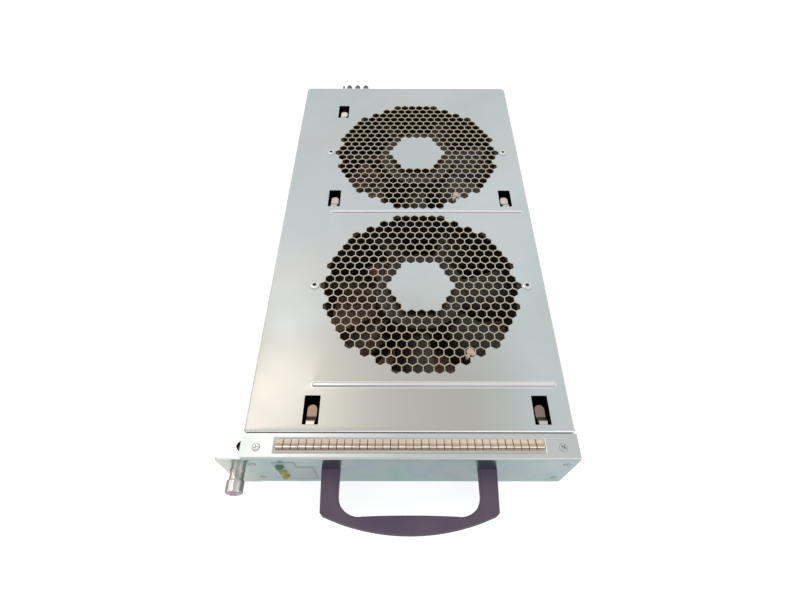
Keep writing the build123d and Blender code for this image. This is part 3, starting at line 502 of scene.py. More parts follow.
def vary(tree, bsdf, mask, colours, roughness):
    """Blend two colours and two roughnesses by one mask."""
    tree.links.new(blend_colours(tree, mask, *colours), bsdf.inputs["Base Color"])
    tree.links.new(spread(tree, mask, *roughness), bsdf.inputs["Roughness"])


def add_bump(tree, bsdf, height, strength, distance_mm):
    """Feed a height into the shader's normal."""
    distance = distance_mm * MM
    bump = fit_node(tree, "ShaderNodeBump", {"Height": height, "Strength": strength, "Distance": distance})
    tree.links.new(bump.outputs[0], bsdf.inputs["Normal"])


def lay_over(material, *layers, mode="MIX"):
    """Lay colours over the material's own, each through its mask, given as (mask, colour)."""
    tree = material.node_tree
    base = tree.nodes["Principled BSDF"].inputs["Base Color"]
    colour = base.links[0].from_socket
    for mask, tone in layers:
        colour = blend_colours(tree, mask, colour, tone, mode)
    tree.links.new(colour, base)
    return material


def plated_sheet(
    name, base, cool, warm, roughness, patch_scale=13.0, amount=0.6, grain=0.05, draw=(1.0, 0.06, 1.0),
):
    """Plated sheet metal: drifting patches, rolled grain and a few rub marks."""
    material, tree, bsdf = start_material(name, metallic=1.0)
    clouds = use_group(
        tree, "clouds",
        {"Base": base, "Cool Patch": cool, "Warm Patch": warm, "Patch Scale": patch_scale, "Amount": amount},
    )
    tree.links.new(clouds["Color"], bsdf.inputs["Base Color"])
    tree.links.new(spread(tree, clouds["Patches"], roughness, roughness + 0.09), bsdf.inputs["Roughness"])
    scuffs = use_group(tree, "scuffs", {"Mark Scale": 45.0, "Share": 0.35})["Mask"]
    height = use_group(tree, "grain", {"Grain Scale": 700.0, "Draw": draw})["Height"]
    add_bump(tree, bsdf, height, grain, 0.1)
    return lay_over(material, (scuffs, scaled(base, 1.12)))


def polished_metal(name, colour, roughness, draw=(1.0, 0.1, 1.0), grain=0.03, dark=0.8):
    """Turned or rolled metal with fine marks and slightly darker, duller places."""
    material, tree, bsdf = start_material(name, metallic=1.0)
    marks = use_group(tree, "scuffs", {"Mark Scale": 220.0, "Share": 0.6})["Mask"]
    vary(tree, bsdf, marks, (colour, scaled(colour, dark)), (roughness, roughness + 0.15))
    height = use_group(tree, "grain", {"Grain Scale": 2200.0, "Draw": draw})["Height"]
    add_bump(tree, bsdf, height, grain, 0.05)
    return material


def moulded(name, colour, shade, roughness, grain_scale=1500.0, grain=0.12, **shader):
    """Moulded or painted surface: fine texture with faint mottling."""
    material, tree, bsdf = start_material(name, **shader)
    texture = use_group(tree, "mould", {"Grain Scale": grain_scale, "Mottle Scale": 90.0})
    vary(tree, bsdf, texture["Mottle"], (colour, shade), (roughness - 0.06, roughness + 0.06))
    add_bump(tree, bsdf, texture["Height"], grain, 0.08)
    return material


def cover_material(name, cover):
    """The plated cover, darker towards its front end and less so on the right, with a painted highlight on
    its folds and beads and painted shade on the beads' front flanks.
    """
    material = plated_sheet(name, cover.zinc, cover.bloom, cover.warm, roughness=0.34)
    tree = material.node_tree
    # The sheet is drawn darker towards its front end, less so on the right
    darker_front = use_group(tree, "darker_front", {"Start": cover.wear_start, "End": cover.wear_end})
    bent = use_group(tree, "bends", {"Sheet Top": top_z * MM})
    # Painted highlight on the folds and beads, painted shade on the beads' front flanks
    return lay_over(
        material,
        (darker_front["Mask"], cover.worn), (bent["Mask"], cover.burnished), (bent["Front Flank"], cover.flank),
    )


def tongue_material(name, cover):
    """The plated hooks, with painted shade where they are bent down, giving way towards the rear to a painted
    highlight.
    """
    material = plated_sheet(name, cover.warm, cover.worn, cover.warm, roughness=0.34)
    tree = material.node_tree
    place = axes(tree)
    # Painted shade below the sheet, turning to a painted highlight towards the rear
    bent_down = fade(tree, place["Z"], (top_z - 0.15) * MM, (top_z - 1.6) * MM)
    rearward = fade(tree, place["Y"], (front_fan.y - FRONT_BEAD) * MM, (rear_fan.y + FAN_HALF) * MM)
    return lay_over(material, (bent_down, blend_colours(tree, rearward, cover.tongue, cover.rear_tongue)))


def panel_material(name, panel, warm):
    """The glossy front sheet: a thin film that shows at a slant, and a warmer left end."""
    material = plated_sheet(
        name, panel.face, panel.tint, warm, roughness=0.20,
        patch_scale=18.0, amount=0.5, grain=0.025, draw=(0.06, 1.0, 1.0),
    )
    tree = material.node_tree
    slant = facing_away(tree)
    stretched = fit_node(
        tree, "ShaderNodeVectorMath", {0: coordinates(tree), 1: (1.0, 0.2, 0.45)}, operation="MULTIPLY",
    )
    hues = colour_ramp(tree, noise(tree, stretched.outputs[0], 34.0, 1.0, distortion=0.4), (
        (0.34, panel.film_teal), (0.47, panel.film_pale), (0.57, panel.film_blue), (0.68, panel.film_rosy),
    ))
    lay_over(material, (fade(tree, slant, 0.22, 0.42), hues), mode="MULTIPLY")
    facing = axes(tree, "Normal")
    left_end = fade(tree, axes(tree)["X"], -100.0 * MM, -118.0 * MM)
    upright = fade(tree, facing["Z"], 0.9, 0.1)
    satin = spread(tree, facing["Z"], 0.0, 0.16)
    roughness = tree.nodes["Principled BSDF"].inputs["Roughness"]
    tree.links.new(combine(tree, "ADD", roughness.links[0].from_socket, satin), roughness)
    return lay_over(material, (combine(tree, "MULTIPLY", left_end, upright), panel.ear))


def tape_material(name, panel):
    """Pale tape, dark in the shade under the fingers."""
    material = moulded(
        name, panel.tape, srgb(188, 186, 178), 0.55, grain_scale=700.0, grain=0.35, metallic=0.6,
    )
    tree = material.node_tree
    low, high = node_box("top_contact_strip")
    place = axes(tree)
    inside = []
    for axis, first, last in (("X", low.x, high.x), ("Y", low.y + 1.5, high.y - 0.3)):
        centre, half = (first + last) / 2 * MM, (last - first) / 2 * MM
        away = combine(tree, "ABSOLUTE", combine(tree, "SUBTRACT", place[axis], centre))
        inside.append(fade(tree, away, half, half - 0.2 * MM))
    return lay_over(material, (combine(tree, "MULTIPLY", *inside), panel.slit))


def handle_material(name, handle):
    """Matt moulding, warmer in drifting patches, with painted shade where it turns to the front."""
    material = moulded(
        name, handle.plastic, handle.shade, 0.56, grain_scale=1700.0, grain=0.10, specular_ior_level=0.22,
    )
    tree = material.node_tree
    warm = fade(tree, noise(tree, coordinates(tree), 26.0, 2.0), 0.42, 0.62)
    front = fade(tree, axes(tree, "Normal")["Y"], -0.3, -0.75)
    return lay_over(material, (warm, handle.blush), (front, handle.underside))


def finger_material(name, panel):
    """Spring fingers with painted light: a shade band between the rear slope and the crease, a highlight on
    the crease, and shade on the front slope and on faces turned to +X.
    """
    material = polished_metal(name, panel.finger, 0.26, draw=(0.1, 1.0, 1.0), grain=0.05, dark=0.9)
    tree = material.node_tree
    facing = axes(tree, "Normal")
    low, high = node_box("top_contact_strip")
    middle = (low.y + high.y) / 2 * MM
    # Painted shade band, painted highlight on the crease, painted shade on the front slope and on faces
    # turned to +X
    return lay_over(
        material,
        (fade(tree, axes(tree)["Y"], middle + 1.5 * MM, middle + 0.6 * MM), panel.rubbed),
        (fade(tree, facing["Y"], 0.20, 0.06), panel.crease),
        (fade(tree, facing["Y"], -0.38, -0.52), panel.tarnish),
        (fade(tree, facing["X"], 0.35, 0.7), panel.inner),
    )


def knob_material(name, colour):
    """Bright turned metal with painted reflections: light and dark bands by the angle to the viewer, palest
    where it starts to turn away and dark at its edges.
    """
    material = polished_metal(name, colour, 0.12, grain=0.02, dark=0.92)
    tree = material.node_tree
    # Painted reflection bands, laid on by the angle to the viewer
    greys = [
        (place, (tone, tone, tone, 1.0))
        for place, tone in ((0.045, 0.62), (0.09, 1.0), (0.26, 1.0), (0.36, 0.42), (0.62, 0.25))
    ]
    ends = (0.0, (0.58, 0.55, 0.55, 1.0)), (1.0, (0.2, 0.17, 0.16, 1.0))
    bands = colour_ramp(tree, facing_away(tree), (ends[0], *greys, ends[1]))
    return lay_over(material, (1.0, bands), mode="MULTIPLY")


def board_material(name):
    """Green solder mask over faint copper tracks."""
    material, tree, bsdf = start_material(name, specular_ior_level=0.6)
    tracks = fit_node(
        tree, "ShaderNodeTexVoronoi", {"Vector": coordinates(tree), "Scale": 420.0}, distance="MANHATTAN",
    )
    edge = fade(tree, tracks.outputs["Distance"], 0.35, 0.5)
    vary(tree, bsdf, edge, (srgb(24, 78, 44), srgb(46, 110, 62)), (0.32, 0.5))
    add_bump(tree, bsdf, edge, 0.2, 0.05)
    return material


def lens_material(name, colour):
    """Diffused coloured lens: saturated body, glossy skin."""
    material, tree, bsdf = start_material(name, coat_weight=0.6, coat_roughness=0.08)
    texture = use_group(tree, "mould", {"Grain Scale": 900.0, "Mottle Scale": 260.0})
    vary(tree, bsdf, texture["Mottle"], (colour, scaled(colour, 0.6)), (0.22, 0.38))
    add_bump(tree, bsdf, texture["Height"], 0.05, 0.05)
    return material


def winding_material(name):
    """Enamelled wire laid side by side."""
    material, tree, bsdf = start_material(name, metallic=0.85)
    wire = fit_node(
        tree, "ShaderNodeTexWave", {"Vector": coordinates(tree), "Scale": 480.0, "Distortion": 0.6},
        bands_direction="Z",
    ).outputs["Fac"]
    vary(tree, bsdf, wire, (srgb(112, 52, 30), srgb(186, 104, 62)), (0.45, 0.28))
    add_bump(tree, bsdf, wire, 0.5, 0.2)
    return material


finishes = {}


def finish_for(slot):
    """The finish of a material slot, built on first use."""
    tray = settings()
    cover, panel, screws, fans = tray.cover, tray.panel, tray.screws, tray.fans
    makers = {
        "zinc_sheet": lambda n: cover_material(n, cover),
        "cut_edge": lambda n: polished_metal(n, cover.cut, 0.42, grain=0.1),
        "bent_tongue": lambda n: tongue_material(n, cover),
        "panel_sheet": lambda n: panel_material(n, panel, cover.warm),
        "contact_spring": lambda n: finger_material(n, panel),
        "mounting_tape": lambda n: tape_material(n, panel),
        "plum_plastic": lambda n: handle_material(n, tray.handle),
        "steel_hardware": lambda n: polished_metal(n, screws.steel, 0.30),
        "nickel_plate": lambda n: knob_material(n, screws.nickel),
        "knob_front": lambda n: polished_metal(n, screws.knob_front, 0.2),
        "dull_rivet": lambda n: polished_metal(n, screws.dull, 0.36),
        "label_film": lambda n: moulded(n, panel.label, panel.tint, 0.34, 900.0, 0.03),
        "label_line": lambda n: moulded(n, panel.label_line, panel.label_line, 0.4, 900.0, 0.02),
        "green_lens": lambda n: lens_material(n, tray.lamps.ready),
        "amber_lens": lambda n: lens_material(n, tray.lamps.fault),
        "circuit_board": board_material,
        "natural_nylon": lambda n: moulded(n, fans.tie, srgb(192, 170, 152), 0.42, 1100.0, 0.05),
        "rivet_metal": lambda n: polished_metal(n, screws.rivet, 0.27),
        "dark_steel": lambda n: polished_metal(n, srgb(62, 58, 56), 0.45),
        "connector_plastic": lambda n: moulded(n, srgb(104, 104, 98), srgb(88, 88, 84), 0.42, 1300.0, 0.08),
        "contact_plating": lambda n: polished_metal(n, srgb(222, 186, 110), 0.2),
        "frame_paint": lambda n: moulded(n, fans.paint, srgb(30, 24, 18), 0.5, 500.0, 0.25),
        "lamination_steel": lambda n: polished_metal(n, srgb(120, 121, 123), 0.38, (1.0, 1.0, 12.0), 0.2),
        "winding_wire": winding_material,
        "ferrite": lambda n: moulded(n, srgb(62, 62, 64), srgb(50, 50, 52), 0.6, 800.0, 0.2),
        "impeller_plastic": lambda n: moulded(n, fans.impeller, srgb(40, 30, 22), 0.44, 1300.0, 0.10),
    }
    if slot not in finishes:
        finishes[slot] = makers[slot](slot)
    return finishes[slot]


# Mesh helpers; all shapes are drawn in millimetres

def add_ring(bm, points):
    """New vertices at these points."""
    return [bm.verts.new(point) for point in points]


def bridge(bm, first, second, closed=True):
    """Quads between two rings of the same count."""
    count = len(first)
    for i in range(count if closed else count - 1):
        j = (i + 1) % count
        bm.faces.new((first[i], first[j], second[j], second[i]))


def skin(bm, rings, closed=True, caps=False):
    """Cover a stack of rings, with flat caps if asked."""
    stack = [add_ring(bm, ring) for ring in rings]
    for first, second in zip(stack, stack[1:]):
        bridge(bm, first, second, closed)
    if caps:
        bm.faces.new(list(reversed(stack[0])))
        bm.faces.new(stack[-1])
    return stack


def lay_triangles(bm, triangles, near, far=()):
    """Faces on one ring of points, and turned over on a second."""
    for triangle in triangles:
        bm.faces.new([near[i] for i in triangle])
        if far:
            bm.faces.new([far[i] for i in reversed(triangle)])


def turned(bm, seat, profile, sides=40, ripple=None):
    """Turn a (radius, height) profile round the seat's Z axis; ripple adds to each point's radius."""
    stack = []
    for radius, height in profile:
        if radius < 1e-6:
            stack.append([bm.verts.new(seat @ Vector((0, 0, height)))])
            continue
        ring = []
        for i in range(sides):
            angle = 2 * math.pi * i / sides
            reach = radius + (ripple(radius, height, i) if ripple else 0.0)
            ring.append(seat @ Vector((reach * math.cos(angle), reach * math.sin(angle), height)))
        stack.append(add_ring(bm, ring))
    for first, second in zip(stack, stack[1:]):
        if len(first) == 1 and len(second) == 1:
            continue
        if len(first) == 1:
            for i in range(sides):
                bm.faces.new((first[0], second[i], second[(i + 1) % sides]))
        elif len(second) == 1:
            for i in range(sides):
                bm.faces.new((first[(i + 1) % sides], first[i], second[0]))
        else:
            bridge(bm, first, second)


def seat_at(x, y, z, facing):
    """A matrix at a point whose Z looks along a direction."""
    return Matrix.Translation((x, y, z)) @ Vector(facing).to_track_quat("Z", "Y").to_matrix().to_4x4()


def turns(start, end, steps):
    """Evenly spaced angles in radians, both ends included, from ends in degrees."""
    return [math.radians(start + (end - start) * i / steps) for i in range(steps + 1)]


def circle(x, y, radius, count, turn=0.0):
    """Points of a circle, anticlockwise."""
    angles = [turn + i * (2 * math.pi / count) for i in range(count)]
    return [(x + radius * math.cos(angle), y + radius * math.sin(angle)) for angle in angles]


def hexagon(x, y, radius):
    """A hexagon's outline, two of its corners along Y."""
    return circle(x, y, radius, 6, math.pi / 6)


def arc(x, y, radius, start, end, steps):
    """Points of an arc round a centre, angles in degrees."""
    return [(x + radius * math.cos(a), y + radius * math.sin(a)) for a in turns(start, end, steps)]


def smooth_arc(first, middle, last, steps):
    """Points of the arc through three points, without its first."""
    (ax, ay), (bx, by), (cx, cy) = first, middle, last
    a, b, c = ax**2 + ay**2, bx**2 + by**2, cx**2 + cy**2
    d = 2 * (ax * (by - cy) + bx * (cy - ay) + cx * (ay - by))
    centre_x = (a * (by - cy) + b * (cy - ay) + c * (ay - by)) / d
    centre_y = (a * (cx - bx) + b * (ax - cx) + c * (bx - ax)) / d
    radius = math.hypot(ax - centre_x, ay - centre_y)
    start = math.atan2(ay - centre_y, ax - centre_x)
    sweep = (math.atan2(cy - centre_y, cx - centre_x) - start + math.pi) % (2 * math.pi) - math.pi
    angles = [start + sweep * i / steps for i in range(1, steps + 1)]
    return [(centre_x + radius * math.cos(angle), centre_y + radius * math.sin(angle)) for angle in angles]


def round_corner(before, corner, after, radius, steps):
    """Points of a tangent arc of a given radius at a corner."""
    corner = Vector(corner)
    one = (Vector(before) - corner).normalized()
    two = (Vector(after) - corner).normalized()
    half = one.angle(two) / 2
    setback = radius / math.tan(half)
    centre = corner + (one + two).normalized() * radius / math.sin(half)
    start = corner + one * setback - centre
    end = corner + two * setback - centre
    sweep = math.atan2(start.x * end.y - start.y * end.x, start.dot(end))
    points = []
    for i in range(steps + 1):
        angle = sweep * i / steps
        points.append((
            centre.x + start.x * math.cos(angle) - start.y * math.sin(angle),
            centre.y + start.x * math.sin(angle) + start.y * math.cos(angle),
        ))
    return points


def slot_points(x, y, length, width, steps=10):
    """A slot's outline, anticlockwise."""
    radius = width / 2
    right = arc(x + length / 2 - radius, y, radius, -90, 90, steps)
    left = arc(x - length / 2 + radius, y, radius, 90, 270, steps)
    return right + left


def rounded_rectangle(x, y, width, height, radius, steps=3):
    """A rectangle's outline with small round corners, anticlockwise."""
    points = []
    for sx, sy, start in ((1, -1, -90), (1, 1, 0), (-1, 1, 90), (-1, -1, 180)):
        corner_x, corner_y = x + sx * (width / 2 - radius), y + sy * (height / 2 - radius)
        points += arc(corner_x, corner_y, radius, start, start + 90, steps)
    return points


def flat_sheet(outlines):
    """Triangulate an outline with holes: all points, the triangles, and the point indices of each outline."""
    points, loops = [], []
    for outline in outlines:
        loops.append(list(range(len(points), len(points) + len(outline))))
        points += [Vector(point) for point in outline]
    coords, _, triangles, sources, _, owners = delaunay_2d_cdt(points, [], loops, 0, 1e-6, True)
    spot_of = {given: i for i, group in enumerate(sources) for given in group}
    solid = [triangle for triangle, owner in zip(triangles, owners) if list(owner) == [0]]
    return [tuple(point) for point in coords], solid, [[spot_of[i] for i in loop] for loop in loops]


def to_object(name, bm):
    """Turn a mesh drawn in millimetres into an object in metres."""
    bmesh.ops.scale(bm, vec=(MM, MM, MM), verts=bm.verts)
    mesh = bpy.data.meshes.new(name)
    bm.to_mesh(mesh)
    bm.free()
    piece = bpy.data.objects.new(name, mesh)
    bpy.context.scene.collection.objects.link(piece)
    return piece, mesh


def finish_piece(
    name, bm, slot, body="chassis", stands_for=(), crease=30.0, weld=0.0, outward=True, finish=None,
):
    """Turn a mesh drawn in millimetres into a finished piece that rides on a body."""
    if weld:
        bmesh.ops.remove_doubles(bm, verts=bm.verts, dist=weld)
    if outward:
        bmesh.ops.recalc_face_normals(bm, faces=bm.faces)
    piece, mesh = to_object(name, bm)
    for polygon in mesh.polygons:
        polygon.use_smooth = True
    mesh.set_sharp_from_angle(angle=math.radians(crease))
    mesh.materials.append(finish_for(finish or slot))
    if body:
        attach(piece, body)
    if stands_for:
        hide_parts(*stands_for)
    return piece


def keep_nodes(*nodes, edge_break=0.0):
    """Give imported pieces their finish, and a small bevel on their sharp edges if asked."""
    slots = {entry["node"]: entry["material_slot"] for entry in frame["record"]["subparts"]}
    for node in nodes:
        piece = frame["nodes"][node]
        piece.data.materials.clear()
        piece.data.materials.append(finish_for(slots[node]))
        if edge_break:
            bevel = piece.modifiers.new("Edge break", "BEVEL")
            bevel.width = edge_break * MM
            bevel.segments = 2
            bevel.limit_method = "ANGLE"
            bevel.angle_limit = math.radians(40)
            bevel.harden_normals = True


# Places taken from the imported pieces

UP, FORWARD, REARWARD = (0, 0, 1), (0, -1, 0), (0, 1, 0)

cover_high = node_box("top_cover")[1]
panel_low, panel_high = node_box("front_panel")
front_fan = sum(node_box("front_fan_frame"), Vector()) / 2
rear_fan = sum(node_box("rear_fan_frame"), Vector()) / 2
fans_by_side = {"front": front_fan, "rear": rear_fan}
top_z = panel_high.z
face_y = panel_low.y
FAN_HALF = 75.0


# Cover

def grille_cells(pitch, blind, rim):
    """Centres of the cells round a fan's middle, in rows along X, with one more cell at each side."""
    reach, side_cell = 12, 10
    cells = []
    for row in range(-reach, reach + 1):
        y = row * pitch * math.sqrt(3) / 2
        for column in range(-reach, reach + 1):
            x = (column + (0.5 if row % 2 else 0.0)) * pitch
            radius = math.hypot(x, y) / pitch
            if blind < radius < rim or (row == 0 and abs(column) == side_cell):
                cells.append((x, y))
    return cells


def fold_profile(radius, drop, sheet):
    """A folded edge as (outward, down) points from the top face round to the underside."""
    bend = turns(0, 90, 5)
    outer = [(radius * math.sin(a), radius * (1 - math.cos(a))) for a in bend[:-1]]
    inside = radius - sheet
    inner = [(inside * math.sin(a), sheet + inside * (1 - math.cos(a))) for a in reversed(bend)]
    return outer + [(radius, radius), (radius, drop), (inside, drop)] + inner


def sweep_fold(bm, stations, profile):
    """Draw a fold along stations of (x, y, normal x, normal y), closed at both ends."""
    stack = [
        add_ring(bm, [(x + nx * out, y + ny * out, top_z - down) for out, down in profile])
        for x, y, nx, ny in stations
    ]
    for first, second in zip(stack, stack[1:]):
        bridge(bm, first, second, closed=False)
    for ring in (stack[0], stack[-1]):
        bm.faces.new(ring)


def draw_hook(bm, x, root, sheet):
    """A hook lanced from a window's front edge and bent down inside it, its far end round."""
    neck, width, reach = 5.3, 6.3, 14.6
    flat, ramp, drop = 2.1, 4.4, 3.6
    foot = flat + ramp
    path = [(0.0, 0.0), (flat - 0.5, 0.0)]
    path += smooth_arc(path[-1], (flat + 0.4, -0.18), (flat + 1.1, -0.85), 5)
    path += [(foot - 1.0, -drop + 0.85)]
    path += smooth_arc(path[-1], (foot - 0.1, -drop + 0.15), (foot + 0.9, -drop), 5)
    round_start = reach - width / 2
    path += [(round_start + width / 2 * math.sin(a), -drop) for a in turns(0, 90, 8)]
    rings = []
    for i, (along, down) in enumerate(path):
        slope = (Vector(path[min(i + 1, len(path) - 1)]) - Vector(path[max(i - 1, 0)])).normalized()
        half = neck / 2 + (width - neck) / 2 * min(max((along - flat) / 1.2, 0.0), 1.0)
        past = along - round_start
        if past > 0:
            half = max(math.sqrt(max((width / 2) ** 2 - past**2, 0.0)), 0.25)
        low = Vector((along, down)) - Vector((-slope.y, slope.x)) * sheet
        rings.append([
            (x - half, root + along, top_z + down), (x + half, root + along, top_z + down),
            (x + half, root + low.x, top_z + low.y), (x - half, root + low.x, top_z + low.y),
        ])
    skin(bm, rings, caps=True)


# Windows across from the fans' middles, then along from the panel's face and twice from the rear fan
WINDOW_LEFT, WINDOW_RIGHT = -73.1, 75.5
FRONT_WINDOWS, MIDDLE_WINDOWS, REAR_WINDOW = 31.8, -61.1, 63.3
# Beads across from the fans' middles, how far one is ahead of the front fan, and (inset, share of rise)
BEAD_SHIFT, FRONT_BEAD = 6.75, 82.0
BEAD_STEPS = ((0.75, 0.07), (1.15, 0.34), (1.5, 0.72), (1.85, 0.94), (2.3, 1.0))


def build_cover():
    """The folded cover with its true grilles, beads, windows and hooks."""
    cover = settings().cover
    size = in_mm(cover)
    sheet, bend, edge_break = size.sheet, size.bend, size.edge_break
    front, relief = panel_high.y + size.seam, size.bend + 0.2
    corner = size.corner - bend

    # Flat outline, up to the folds that leave it
    side_x, rear_y = cover_high.x - bend, cover_high.y - bend
    rear_right = arc(side_x - corner, rear_y - corner, corner, 0, 90, 8)
    rear_left = arc(-side_x + corner, rear_y - corner, corner, 90, 180, 8)
    low_housing, high_housing = node_box("connector_housing")
    notch = (low_housing.x - 1.0, high_housing.x + 1.0)
    outline = [
        (side_x, front + bend), (side_x, front + relief),
        *rear_right, (notch[1], rear_y), (notch[0], rear_y), *rear_left,
        (-side_x, front + relief), (-side_x, front + bend),
    ]

    reach = size.flats / math.sqrt(3)
    cells = [
        (centre.x + x, centre.y + y) for centre in fans_by_side.values()
        for x, y in grille_cells(size.pitch, cover.blind_middle, cover.rim)
    ]
    left, right = front_fan.x + WINDOW_LEFT, front_fan.x + WINDOW_RIGHT
    windows = [
        (left, face_y + FRONT_WINDOWS), (right, face_y + FRONT_WINDOWS),
        (left, rear_fan.y + MIDDLE_WINDOWS), (right, rear_fan.y + MIDDLE_WINDOWS),
        (left, rear_fan.y + REAR_WINDOW),
    ]
    wide, deep = size.window_width, size.window_length
    bead_rows = [front_fan.y - FRONT_BEAD, (front_fan.y + rear_fan.y) / 2]

    def bead(y, inset=0.0):
        """A bead's outline, moved inwards."""
        return slot_points(
            front_fan.x + BEAD_SHIFT, y, size.bead_length - 2 * inset, size.bead_width - 2 * inset,
        )

    points, triangles, loops = flat_sheet([
        outline,
        *[hexagon(*spot, reach + edge_break) for spot in cells],
        *[rounded_rectangle(*spot, wide + 0.2, deep + 0.2, 0.6) for spot in windows],
        *[bead(y) for y in bead_rows],
    ])
    bm = bmesh.new()
    upper = add_ring(bm, [(x, y, top_z) for x, y in points])
    lower = add_ring(bm, [(x, y, top_z - sheet) for x, y in points])
    lay_triangles(bm, triangles, upper, lower)

    # Walls of the cells and windows, with a small bevel on both faces
    cuts, walls = bmesh.new(), bmesh.new()
    holes = [(cuts, hexagon(*spot, reach), edge_break, edge_break / 2) for spot in cells]
    holes += [(walls, rounded_rectangle(*spot, wide, deep, 0.5), 0.1, 0.1) for spot in windows]
    for (target, straight, high_break, low_break), loop in zip(holes, loops[1:]):
        skin(target, [
            [upper[i].co for i in loop],
            [(*p, top_z - high_break) for p in straight],
            [(*p, top_z - sheet + low_break) for p in straight],
            [lower[i].co for i in loop],
        ])
    # Beads, raised from above and hollow below
    for y, loop in zip(bead_rows, loops[1 + len(holes):]):
        for face, base_z in ((upper, top_z), (lower, top_z - sheet)):
            ring = [face[i] for i in loop]
            for inset, rise in BEAD_STEPS:
                step = add_ring(bm, [(*p, base_z + rise * size.bead_height) for p in bead(y, inset)])
                bridge(bm, ring, step)
                ring = step
            bm.faces.new(ring)
    # Side and rear folds, a short fold at the connector's notch, and the front fold between two reliefs
    profile = fold_profile(bend, size.flange, sheet)
    rear_ends = [(notch[1], rear_y, 0, 1), (notch[0], rear_y, 0, 1)]
    right_side = [(x, y, math.cos(a), math.sin(a)) for (x, y), a in zip(rear_right, turns(0, 90, 8))]
    left_side = [(x, y, math.cos(a), math.sin(a)) for (x, y), a in zip(rear_left, turns(90, 180, 8))]
    sweep_fold(bm, [(side_x, front + relief, 1, 0), *right_side, rear_ends[0]], profile)
    sweep_fold(bm, [rear_ends[1], *left_side, (-side_x, front + relief, -1, 0)], profile)
    sweep_fold(bm, rear_ends, fold_profile(bend, bend + 0.4, sheet))
    front_ends = [(side_x, front + bend, 0, -1), (-side_x, front + bend, 0, -1)]
    sweep_fold(bm, front_ends, fold_profile(bend, 3.0, sheet))
    finish_piece("cover_sheet", bm, "zinc_sheet", stands_for=["top_cover"], weld=0.001, crease=28)
    finish_piece("cover_cut_edges", cuts, "cut_edge", crease=28, outward=False)
    finish_piece("window_edges", walls, "dark_steel", crease=28, outward=False)

    hooks = bmesh.new()
    for x, y in windows:
        draw_hook(hooks, x, y - deep / 2, sheet)
    sharp = [edge for edge in hooks.edges if len(edge.link_faces) == 2 and edge.calc_face_angle() > 1.2]
    bmesh.ops.bevel(hooks, geom=sharp, offset=0.12, segments=2, affect="EDGES")
    finish_piece("cover_hooks", hooks, "bent_tongue", crease=40)


# Contact strips

# Rise of a top finger at its front, after the rail, and how far along a side finger its bow is measured
FRONT_RISE = ((1.3, 0.25), (1.9, 0.62), (2.45, 1.2), (2.8, 1.62), (3.15, 1.78), (3.6, 1.75))
BOW_STEPS = (0.0, 0.1, 0.2, 0.32, 0.44, 0.56, 0.68, 0.8, 0.9, 1.0)
FINGER_METAL = 0.2
FLAT_RISE = 0.3


def finger_profile(depth, bow, sloped):
    """The upper side of a finger as (place, height): a sloped top one, or a plainly bowed side one."""
    start = -depth / 2
    if not sloped:
        return [
            (start + 0.6 + (depth - 1.2) * t, 0.25 + (bow - 0.3) * math.sin(math.pi * t)) for t in BOW_STEPS
        ]
    return [(start + along, height) for along, height in FRONT_RISE] + [
        (start + 3.6 + (depth - 4.0) * t, 1.75 - 1.35 * t - 0.12 * math.sin(math.pi * t))
        for t in (0.2, 0.4, 0.6, 0.8, 1.0)
    ]


def draw_fingers(bm, rails, seat, count, pitch, slit, depth, bow, sloped):
    """A rail with bowed fingers; the seat's X runs along the strip and its Z away from the sheet."""
    half = depth / 2
    upper = finger_profile(depth, bow, sloped)
    section = upper + [(y, max(z - FINGER_METAL, 0.0)) for y, z in reversed(upper)]
    length = count * pitch
    rail = [(-half + 0.05, 0.0), (-half + 0.05, 0.22), (-half + 1.5, 0.22), (-half + 1.5, 0.0)]
    skin(rails, [[seat @ Vector((x, y, z)) for y, z in rail] for x in (-length / 2, length / 2)], caps=True)
    # No two fingers are bent quite alike
    for i in range(count):
        low = -length / 2 + i * pitch + slit / 2
        lift = 1.0 + 0.035 * math.sin(i * 2.4) + 0.02 * math.sin(i * 5.1)
        lean = 0.06 * math.sin(i * 1.7)
        rings = []
        for t, crown in ((0.0, 0.0), (0.04, 0.03), (0.5, 0.03), (0.96, 0.03), (1.0, 0.0)):
            x = low + (pitch - slit) * t
            rings.append([
                seat @ Vector((
                    x + lean * (y + half) / depth, y, min(z * lift + crown, bow) if z > FLAT_RISE else z,
                ))
                for y, z in section
            ])
        skin(bm, rings, caps=True)


def build_recess(middle, wide, deep, floor_z):
    """The tape on the floor of the top strip's recess, and the recess's soft sloping edge."""
    def outline(inset, radius, z):
        """The recess's outline, moved inwards, at a height."""
        points = rounded_rectangle(middle.x, middle.y, wide - 2 * inset, deep - 2 * inset, radius)
        return [(*point, z) for point in points]

    bm = bmesh.new()
    skin(bm, [outline(1.0, 0.5, floor_z + up) for up in (-0.02, 0.06)], caps=True)
    finish_piece("strip_tape", bm, "mounting_tape", crease=30)
    bm = bmesh.new()
    slope = ((-0.1, -0.3), (-0.1, 0.02), (0.0, 0.03), (0.8, -0.12), (1.0, -0.38))
    skin(bm, [outline(inset, 0.4, top_z + up) for inset, up in slope])
    finish_piece("strip_recess_edge", bm, "panel_sheet", crease=50)


